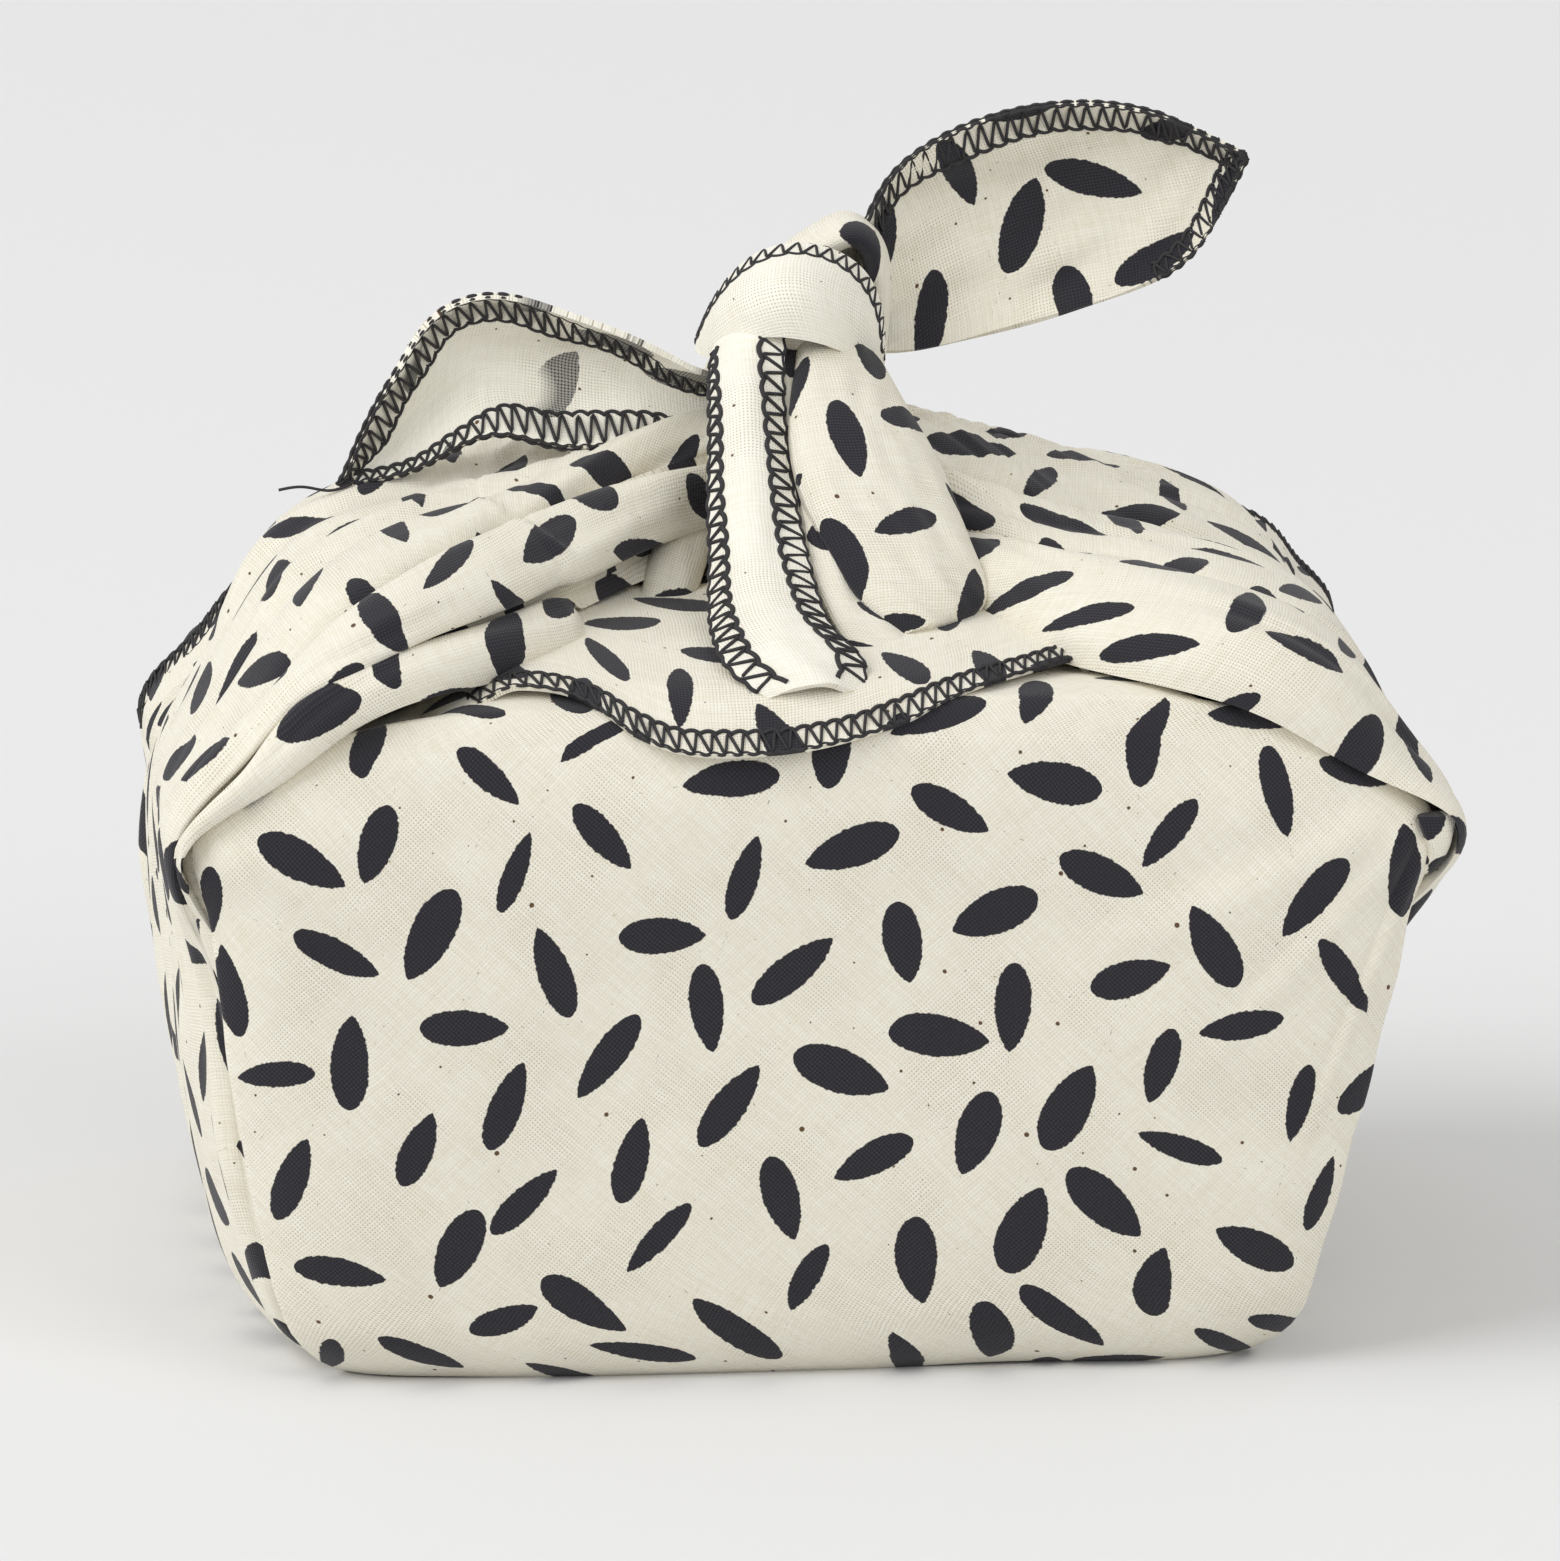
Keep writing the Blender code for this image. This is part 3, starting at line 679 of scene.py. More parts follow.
@dataclass(frozen=True)
class PlainWeave:
    """Plain weave of uneven hand-spun threads: its height, its tone and the flecks of seed husk."""

    thread: float = 0.45 * MM
    wobble_size: float = 6 * MM
    wobble: float = 0.55 * MM
    over_share: float = 0.38  # how much higher a thread lies where it crosses over the other one
    slub_length: float = 7.0 * MM
    patch_size: float = 14.0 * MM  # of the places where the weave is loose
    fleck_pitch: float = 7.0 * MM
    fleck_size: float = 0.26 * MM

    def build(self) -> NodeTree:
        """Makes the weave group.

        Height adds two families of ridges, |sin| across each thread direction, that trade places in a
        checkerboard. Tone is a stretched noise along each family. Gap is dark where both are low and a
        broad noise says that the weave is loose.
        """
        g = GroupMaker("plain_weave", {"Flat Cloth": "Vector"}, ("Height", "Tone", "Gap", "Fleck"))
        flat = g.start.outputs["Flat Cloth"]
        drift = g.noise(flat, 1 / self.wobble_size, 2.0).outputs["Color"]
        wobble = g.scaled(g.vector("SUBTRACT", drift, (0.5, 0.5, 0.5)), self.wobble)
        x, y = g.split(g.vector("ADD", flat, wobble))
        warp, weft = (g.math("SINE", g.mul(value, math.pi / self.thread)) for value in (x, y))
        over = g.mul(g.mul(warp, weft), self.over_share)
        height = g.add(g.mul(g.math("ABSOLUTE", warp), g.add(1 - self.over_share, over)),
                       g.mul(g.math("ABSOLUTE", weft), g.sub(1 - self.over_share, over)))
        thin, long = 1 / self.thread, 1 / self.slub_length
        tones = [g.noise(g.vector("MULTIPLY", flat, squeeze), 1.0, 2.0).outputs[0]
                 for squeeze in ((thin, long, 1.0), (long, thin, 1.0))]
        patch = g.noise(flat, 1 / self.patch_size, 3.0).outputs[0]
        loose = g.remap(g.add(patch, g.mul(g.sub(tones[0], 0.5), 0.5)), 0.40, 0.68, 0.12, 1.0)
        cells = g.put("TexVoronoi", voronoi_dimensions="2D")
        spot = g.feed(cells, {"Vector": flat, "Scale": 1 / self.fleck_pitch})
        luck = g.feed(g.put("SeparateColor"), {0: spot.outputs["Color"]}).outputs
        size = g.mul(g.mul(luck[0], luck[1]), 1.6 * self.fleck_size / self.fleck_pitch)
        g.feed(g.end, {
            "Height": height,
            "Tone": g.mul(g.add(*tones), 0.5),
            "Gap": g.mul(loose, g.remap(height, 0.15, 0.70, 1.0, 0.0)),
            "Fleck": g.remap(g.sub(size, spot.outputs["Distance"]), -0.004, 0.010, 0.0, 1.0),
        })
        return g.tree


@dataclass(frozen=True)
class CottonFinish:
    """One face of the unbleached cotton: the printed face, or the plain one where ink only shows through."""

    name: str
    cloth: Color = (0.860, 0.828, 0.722)
    slub: Color = (0.775, 0.722, 0.590)
    gap: Color = (0.430, 0.370, 0.270)
    fleck: Color = (0.120, 0.070, 0.035)
    ink: Color = (0.0180, 0.0170, 0.0240)
    in_gaps: float = 0.97  # how much of the cloth the ink hides between the threads
    on_threads: float = 1.0  # and on top of them
    soak_from: float = -1.0  # the broad noise above which ink shows on this face
    soak_fade: float = 0.07  # and over how much of the noise it fades in
    soak_size: float = 27 * MM
    roughness: float = 0.88
    bump_strength: float = 0.55
    bump_height: float = 0.00012

    def build(self, print_group: NodeTree, weave_group: NodeTree) -> Material:
        """Makes the material from the shared print and weave groups.

        Args:
            print_group: Gives the ink's cover over the flat cloth.
            weave_group: Gives the weave's height, tone and gaps, and the flecks.
        """
        m = MaterialMaker(self.name)
        flat = m.put("UVMap", uv_map=FLAT_UV).outputs["UV"]
        marks, weave = (m.feed(m.put("Group", node_tree=group), {"Flat Cloth": flat}).outputs
                        for group in (print_group, weave_group))
        threads = m.blend(m.remap(weave["Tone"], 0.64, 0.34, 0.0, 0.8, "LINEAR"), self.cloth, self.slub)
        woven = m.blend(weave["Gap"], threads, self.gap)
        husks = m.blend(weave["Fleck"], woven, self.fleck)
        broken = m.remap(weave["Height"], 0.40, 0.85, self.in_gaps, self.on_threads, "LINEAR")
        soaked = m.noise(flat, 1 / self.soak_size, 1.0).outputs[0]
        through = m.remap(soaked, self.soak_from, self.soak_from + self.soak_fade, 0.0, 1.0, "LINEAR")
        wet = m.mul(m.mul(marks["Cover"], through), broken)
        return m.finish({
            "Base Color": m.blend(wet, husks, self.ink),
            "Normal": m.bump(weave["Height"], self.bump_strength, self.bump_height),
            "Roughness": self.roughness,
            "Specular IOR Level": 0.25,
            "Sheen Weight": 0.15,
            "Sheen Roughness": 0.5,
        })


@dataclass(frozen=True)
class StageFinish:
    """Plain pale floor."""

    color: Color = (0.80, 0.80, 0.80)

    def build(self) -> Material:
        """Makes the floor's material."""
        return MaterialMaker("pale_floor").finish(
            {"Base Color": (*self.color, 1), "Roughness": 0.9, "Specular IOR Level": 0.1})


@dataclass(frozen=True)
class Finishes:
    """The materials that the pieces share."""

    printed: Material
    plain: Material
    bare: Material
    thread: Material

    @classmethod
    def make(cls) -> "Finishes":
        """Builds the two faces of the cotton, the second one also without ink, and the thread. The plain
        faces get a paler cloth colour: painted light that stands in for light shining through the thin cloth.
        """
        groups = SeedPrint().build(), PlainWeave().build()
        # painted light: the plain faces are paler than the printed one, standing in for light that comes
        # through the thin cloth
        pale = {"cloth": (0.925, 0.900, 0.805), "slub": (0.850, 0.808, 0.685)}
        faint = {"in_gaps": 1.0, "on_threads": 0.62, "soak_from": 0.40}
        return cls(
            CottonFinish("printed_cotton").build(*groups),
            CottonFinish("cotton_wrong_side", **faint, **pale).build(*groups),
            CottonFinish("cotton_bare_side", soak_from=2.0, **pale).build(*groups),
            ThreadFinish().build(),
        )

    @property
    def out(self) -> Faces:
        """The printed face in front, the plain one behind."""
        return [self.printed, self.plain]

    @property
    def turned(self) -> Faces:
        """The plain face in front, the printed one behind."""
        return [self.plain, self.printed]

    @property
    def turned_bare(self) -> Faces:
        """The plain face without any ink in front, the printed one behind."""
        return [self.bare, self.printed]


@dataclass
class Overlock:
    """Overlock stitching along an edge: an outer rail, a zigzag and a scalloped inner rail of thread."""

    name: str
    finish: Material
    zigzag_radius: float = 0.22
    inner_radius: float = 0.32
    outer_radius: float = 0.28
    lift: float = 0.30
    sides: int = 6
    stitch_points: int = 10
    seed: int = 1
    tubes: list[Array] = field(default_factory=list)
    radii: list[float] = field(default_factory=list)

    def along(self, edge: Array, inner: Array, normal: Array, pitch: float = 2.05,
              gauge: float = 1.0) -> None:
        """Sews one stretch, as three long threads.

        In each stitch the zigzag crosses the seam almost straight and comes back on a slant, the inner
        rail bulges inwards by |sin|, and the outer rail sways a little round the cut edge.

        Args:
            edge: Points along the cut edge.
            inner: Points along the seam's inner side, as many as edge has.
            normal: The sewn face's normals at the edge, times how far the seam stands off the grid.
            pitch: Length of a stitch.
            gauge: The threads' thickness, as a share of the usual one.
        """
        rng = np.random.default_rng(self.seed)
        self.seed += 1  # the next stretch is uneven in its own way
        run = chord_knots(edge)
        stitches = max(int(run[-1] / pitch), 2)
        steps = stitches * self.stitch_points + 1
        at = np.linspace(0, stitches, steps)
        where = at / stitches * run[-1]

        def read(rows: Array, shift: Array | float = 0.0) -> Array:
            """Reads rows of points at the threads' places along the seam."""
            return np.stack([np.interp(where + shift, run, c) for c in rows.T], axis=1)

        phase = at % 1.0
        luck = np.interp(at, np.arange(stitches + 1), rng.normal(0, 1, stitches + 1))
        third = np.arange(0, stitches + 4, 3)
        slow = np.interp(at, third, rng.normal(0, 1, len(third)))
        cross = np.interp(phase, (0.0, 0.06, 0.44, 0.56, 0.94, 1.0), (0, 0.08, 0.96, 0.96, 0.08, 0))
        zig = np.clip(cross + 0.03 * luck, 0, 1.03)
        drift = np.interp(phase, (0.0, 0.5, 1.0), (0.0, 0.22, 1.0))
        lean = pitch * (drift - phase) + 0.10 * luck
        e, i, up = read(edge, lean), read(inner, lean), read(normal)
        hump = 0.12 * np.sin(np.pi * phase)[:, None]
        self.tubes.append(e + (i - e) * zig[:, None] + up * (self.lift + hump))
        self.radii.append(self.zigzag_radius * gauge)
        e, i = read(edge), read(inner)
        width = np.linalg.norm(i - e, axis=1, keepdims=True)
        inward = (i - e) / np.maximum(width, 1e-6)
        scallop = 0.55 * np.abs(np.sin(np.pi * (at - 0.5))) ** 0.7 + 0.10 * slow - 0.25
        self.tubes.append(i + inward * scallop[:, None] + up * self.lift)
        self.radii.append(self.inner_radius * gauge)
        sway = (0.16 * np.sin(2 * np.pi * at) + 0.10 * slow)[:, None]
        self.tubes.append(e + inward * (0.10 + sway) + up * (self.lift * 0.6))
        self.radii.append(self.outer_radius * gauge)

    def tail(self, points: Rows) -> None:
        """Adds a loose end of thread along a smooth line."""
        self.tubes.append(smooth_line(points, 24))
        self.radii.append(self.zigzag_radius)

    def build(self) -> Object:
        """Makes all threads one mesh of closed tubes: rings of points round each thread's line."""
        points, faces, count = [], [], 0
        angle = np.linspace(0, 2 * np.pi, self.sides, endpoint=False)
        for line, radius in zip(self.tubes, self.radii):
            ahead = np.gradient(line, axis=0)
            ahead /= np.maximum(np.linalg.norm(ahead, axis=1, keepdims=True), 1e-9)
            first = np.cross(ahead, (0.31, 0.22, 0.92))
            first /= np.maximum(np.linalg.norm(first, axis=1, keepdims=True), 1e-9)
            second = np.cross(ahead, first)
            ring = first[:, None] * np.cos(angle)[:, None] + second[:, None] * np.sin(angle)[:, None]
            points.append((line[:, None] + ring * radius).reshape(-1, 3))
            index = np.arange(count, count + len(line) * self.sides).reshape(len(line), self.sides)
            index = np.concatenate([index, index[:, :1]], axis=1)
            quads = np.stack([index[:-1, :-1], index[:-1, 1:], index[1:, 1:], index[1:, :-1]], axis=2)
            faces += quads.reshape(-1, 4).tolist()
            faces += [index[0, :-1][::-1].tolist(), index[-1, :-1].tolist()]
            count += len(line) * self.sides
        mesh = bpy.data.meshes.new(self.name)
        mesh.from_pydata((np.concatenate(points) * MM).tolist(), [], faces)
        mesh.materials.append(self.finish)
        return placed(mesh)


def across_at(grid: Array, reach: Array) -> Array:
    """Reads each row of a grid at its own distance from the row's start."""
    run = run_along(grid, 1)
    place = np.clip((run <= reach[:, None]).sum(axis=1) - 1, 0, grid.shape[1] - 2)
    row = np.arange(len(grid))
    gap = np.maximum(run[row, place + 1] - run[row, place], 1e-9)
    part = np.clip((reach - run[row, place]) / gap, 0, 1)[:, None]
    return grid[row, place] * (1 - part) + grid[row, place + 1] * part


def seam_lines(grid: Array, width: Rows | float, last: bool,
               offset: Rows | float = 0.0) -> tuple[Array, Array, Array]:
    """Finds the two lines and the normals of a seam along a grid's first or last column.

    Args:
        grid: Rows by columns by 3.
        width: Of the seam on the surface, or rows of (share of the way, width).
        last: True for the last column, False for the first.
        offset: Of the seam from the column, or rows of (share of the way, offset).

    Returns:
        The edge line, the inner line and the normals, as rows of points.
    """
    way = np.linspace(0, 1, len(grid))
    wide, off = (np.interp(way, *np.array(v).T) if isinstance(v, tuple) else np.full(len(grid), v)
                 for v in (width, offset))
    turned, normal = grid, grid_normals(grid)
    if last:
        turned, normal = grid[:, ::-1], normal[:, ::-1]
    whole = run_along(turned, 1)[:, -1]
    return across_at(turned, off), across_at(turned, np.minimum(off + wide, 0.5 * whole + off)), normal[:, 1]


@dataclass
class Bundle:
    """The filled body and the two panels that are folded up its front and back."""

    shape: BundleShape
    finishes: Finishes
    panel_proud: float = 1.6
    panel_thickness: float = 1.2
    panel_squareness: float = 11.0
    hem: float = 3.6  # angle over which a panel's side turns in, in degrees
    turned_in: float = 6.5  # how far the hem's edge lies behind the panel
    flare: float = 4.2  # how far the top corners reach out to the gathers
    clearance: float = 0.4  # least height of a panel's foot over the ground
    core_turns: int = 241
    panel_turns: int = 170
    roof_flat_at: float = 400.0
    foot_flat_at: float = -300.0
    drawn_in: Rows = (
        # height, how far the front panel's left fold is moved to the right
        (0.0, 3.6), (10.0, 3.8), (30.0, 3.2), (50.0, 2.2), (70.0, 0.0),
    )
    pulls: Rows = (
        # corner's x, slope, reach, depth, half width of a crease that leaves a top corner
        (-80.0, 0.55, 46.0, 0.55, 3.0),
        (-80.0, 1.40, 30.0, 0.45, 2.4),
        (80.0, 0.42, 52.0, 0.60, 3.2),
        (80.0, 1.10, 34.0, 0.50, 2.6),
        (80.0, 2.60, 18.0, 0.45, 2.2),
    )
    inner: BundleShape = BundleShape(
        half_width=70.5, half_depth=63.5, rim_front=82.0, rim_left=62.0, rim_right=62.0, rim_corner=58.0,
        crown=92.0,
    )
    rear: BundleShape = BundleShape(
        rim_front=84.0, rim_left=66.0, rim_right=74.0, rim_corner=62.0, crown=95.0,
    )

    def core(self) -> Object:
        """Makes the body: wall sections, then sections of the dome, closed at the foot and the crown."""
        shape = self.inner
        turns = shape.plan_turns(self.core_turns)
        heights = np.concatenate([[0, 0.008, 0.02, 0.04, 0.07], np.linspace(0.11, 1, 34)])
        reaches = 1 - np.linspace(0.02, 0.985, 26) ** 1.15
        grid = np.concatenate([shape.wall_grid(heights, turns), shape.roof_grid(reaches, turns)])
        grid[:, -1] = grid[:, 0]
        piece = ClothMesh("bundle_body")
        index = piece.add_round(grid)
        across, along = run_along(grid, 1), run_along(grid, 0)
        rim = len(heights)
        side = np.stack([np.broadcast_to(across[rim - 1], across.shape), along], axis=2)
        piece.patch(index[: rim + 1], side[: rim + 1])
        piece.patch(index[rim:], grid[rim:, :, :2] + self.roof_flat_at)
        for end, flat_at in ((0, self.foot_flat_at), (-1, self.roof_flat_at)):
            piece.cap(index[end, :-1], grid[end, :-1, :2] + flat_at)
        obj = piece.build(self.finishes.out)
        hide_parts(NODE)
        return obj

    def panel(self, name: str, shape: BundleShape, middle: float, spread: float, sink: float,
              seed: int) -> Object:
        """Makes one panel: a sheet up the wall and over the rim.

        At both sides it stands off the body and turns inwards as a fold: past the fold its distance
        from the body falls by the power 1.5 of the angle. The top corners flare out to the gathers.

        Args:
            name: The piece's name.
            shape: The shape that it lies on.
            middle: The angle that the panel faces, in degrees.
            spread: The angle from its middle to its side folds, in degrees.
            sink: How far the ends of its top edge go down behind the rim.
            seed: Of its soft unevenness.
        """
        low, high = math.radians(middle - spread - self.hem), math.radians(middle + spread + self.hem)
        turns = shape.plan_turns(self.panel_turns, low, high)
        past = np.abs(np.degrees(turns) - middle) - spread
        proud = self.panel_proud - self.turned_in * np.clip(past / self.hem, 0, 1) ** 1.5
        heights = np.concatenate([[0.006, 0.02, 0.04, 0.07], np.linspace(0.10, 1, 60)])
        square = self.panel_squareness - 3.0 * np.exp(-((heights / 0.10) ** 2))
        wall = shape.wall_grid(heights, turns, square, proud)
        reaches = np.linspace(0.985, 0.70, 24)
        ring = shape.roof_grid(reaches, turns)
        behind = soft_step(0.0, 1.0, (reaches[0] - reaches) / 0.09)[:, None]
        dive = sink * behind * soft_step(44, 60, np.abs(ring[:, :, 0]))
        ring[:, :, 2] += np.linspace(self.panel_proud, -1.8, len(reaches))[:, None] - dive
        grid = np.concatenate([wall, ring])
        side = soft_step(60, 78, np.abs(grid[:, :, 0])) * np.sign(grid[:, :, 0])
        corner = np.exp(-(((grid[:, :, 2] - 74.0) / 7.0) ** 2)) * soft_step(54.0, 62.0, np.abs(grid[:, :, 1]))
        grid[:, :, 0] += self.flare * side * corner
        grid[:, :, 1] += 0.9 * np.sign(grid[:, :, 1]) * np.abs(side) * corner
        if math.sin(math.radians(middle)) < 0:
            height, drawn = np.array(self.drawn_in).T
            grid[:, :, 0] += np.interp(grid[:, :, 2], height, drawn) * soft_step(50.0, 78.0, -grid[:, :, 0])
        flat = flat_from(grid, (903.0 + 200 * seed, -36.0), 45.0)
        away = np.array([math.cos(math.radians(middle)), math.sin(math.radians(middle)), 0.3])
        grid = self.worn(grid, flat, seed)
        obj = sheet_between(name, grid, flat, self.panel_thickness, self.finishes.out, away)
        return obj

    def worn(self, grid: Array, flat: Array, seed: int) -> Array:
        """Gives a panel soft, uneven waves and a few long, low creases that start at its top corners.

        Args:
            grid: The panel's surface.
            flat: Its places on the flat cloth.
            seed: Of the waves.
        """
        soft = 0.34 * ripple(flat[:, :, 0], flat[:, :, 1], seed, 46.0, 1.5)
        x, z = grid[:, :, 0], grid[:, :, 2]
        for corner, slope, reach, depth, width in self.pulls:
            line = 76.0 - slope * (x - corner) * -np.sign(corner)
            along = np.clip((x - corner) * -np.sign(corner) / reach, 0, 1)
            window = np.sin(np.pi * along**0.6) * (along < 1)
            off = (z - line) / width
            soft += depth * window * (-np.exp(-(off**2)) + 0.6 * np.exp(-((off - 1.8) ** 2)))
        grid = raised(grid, soft)
        grid[:, :, 2] = np.maximum(grid[:, :, 2], self.clearance)
        return grid

    def build(self) -> list[Object]:
        """Makes the body and both panels."""
        return [
            self.core(),
            self.panel("front_panel", self.shape, 270.0, 45.8, 6.5, 3),
            self.panel("back_panel", self.rear, 90.0, 54.0, 1.0, 4),
        ]


@dataclass(frozen=True)
class FoldLine:
    """A line on which two rolls of a gathered side meet, and the roll that follows it."""

    rim: Point
    shoulder: Point
    saddle: Point
    neck: tuple[float, float]  # y and z where it goes into the knot
    roll: float  # how far the roll between this line and the next one swells out


LEFT_LINES = (
    FoldLine((-83.0, -66.2, 74.2), (-62.0, -66.4, 89.0), (-29.0, -42.0, 93.0), (-17.0, 97.0), 4.8),
    FoldLine((-82.5, -65.0, 75.5), (-66.0, -62.5, 91.5), (-42.0, -48.0, 98.0), (-15.0, 103.0), 5.4),
    FoldLine((-83.5, -59.0, 77.0), (-63.0, -55.0, 97.5), (-37.0, -31.0, 107.0), (-11.0, 112.0), 2.5),
    FoldLine((-83.2, -30.0, 76.5), (-68.4, -22.0, 99.6), (-40.0, -8.0, 109.0), (-3.0, 117.0), 1.2),
    FoldLine((-82.2, 5.0, 73.0), (-67.4, 10.0, 99.0), (-42.0, 13.0, 110.0), (4.0, 117.0), 0.8),
    FoldLine((-80.6, 36.0, 66.0), (-67.4, 32.0, 85.5), (-40.0, 26.0, 102.0), (10.0, 111.0), 0.5),
    FoldLine((-81.4, 58.0, 65.0), (-70.2, 51.0, 81.0), (-40.0, 39.0, 94.0), (15.0, 98.0), 0.0),
)
RIGHT_LINES = (
    FoldLine((82.6, -66.8, 74.2), (58.0, -66.8, 88.3), (33.0, -53.0, 93.6), (-15.0, 98.0), 6.4),
    FoldLine((82.5, -48.0, 72.5), (70.0, -46.0, 91.5), (38.0, -32.0, 101.0), (-11.0, 105.0), 3.6),
    FoldLine((81.5, -15.0, 71.0), (68.0, -6.0, 92.0), (43.0, -10.0, 101.5), (-7.0, 111.0), 1.6),
    FoldLine((80.5, 15.0, 70.0), (66.0, 18.0, 96.5), (40.0, 15.0, 107.5), (3.0, 117.0), 1.5),
    FoldLine((81.2, 34.0, 71.5), (67.0, 28.0, 92.0), (40.0, 24.0, 103.0), (9.0, 111.0), 0.8),
    FoldLine((81.8, 54.0, 75.5), (70.5, 37.0, 90.5), (40.0, 36.0, 97.0), (15.0, 99.0), 0.0),
)
LEFT_CREASES: Rows = (
    # line at the rim, at the neck, start, end along the way up, half width, depth
    # the lip lies on the crease's later side, or on its earlier one where the half width is negative
    (1.03, 1.03, 0.00, 0.95, -1.9, 3.0),
    (2.14, 2.10, 0.00, 0.95, -3.2, 3.3),
    (2.75, 2.70, 0.05, 0.75, 2.4, 1.3),
    (3.4, 3.1, 0.20, 0.95, 2.6, 1.1),
    (4.4, 4.2, 0.35, 1.00, 2.4, 0.9),
    (1.5, 1.45, 0.00, 0.45, 1.0, 0.6),
    (0.5, 0.55, 0.02, 0.40, 1.2, 0.6),
    (5.4, 5.2, 0.30, 1.00, 2.0, 0.7),
    (0.55, 0.55, -0.90, -0.08, 1.5, 1.3),
    (1.35, 1.35, -0.75, -0.10, 2.0, 1.0),
    (2.25, 2.25, -0.60, 0.05, 3.0, 0.8),
    (3.60, 3.50, -0.70, 0.10, 3.6, 0.8),
)
RIGHT_CREASES: Rows = (
    (1.45, 1.5, 0.35, 0.95, 1.8, 0.8),
    (2.06, 2.05, 0.24, 1.00, -2.8, 3.0),
    (0.5, 0.45, 0.00, 0.45, 1.3, 0.8),
    (1.1, 1.0, 0.00, 0.40, 1.2, 0.8),
    (1.7, 1.6, 0.00, 0.45, 1.0, 0.6),
    (2.6, 2.5, 0.00, 0.60, 1.2, 0.8),
    (3.2, 3.2, 0.02, 0.55, 1.1, 0.6),
    (3.4, 3.3, 0.40, 0.95, 1.8, 0.8),
    (4.3, 4.2, 0.30, 1.00, 1.6, 0.7),
    (2.03, 2.05, -0.97, 0.34, -1.8, 1.9),
    (0.30, 0.30, -0.85, -0.10, 1.8, 1.3),
    (1.25, 1.25, -0.70, 0.00, 2.8, 0.9),
    (3.00, 3.00, -0.70, 0.05, 3.2, 0.8),
)


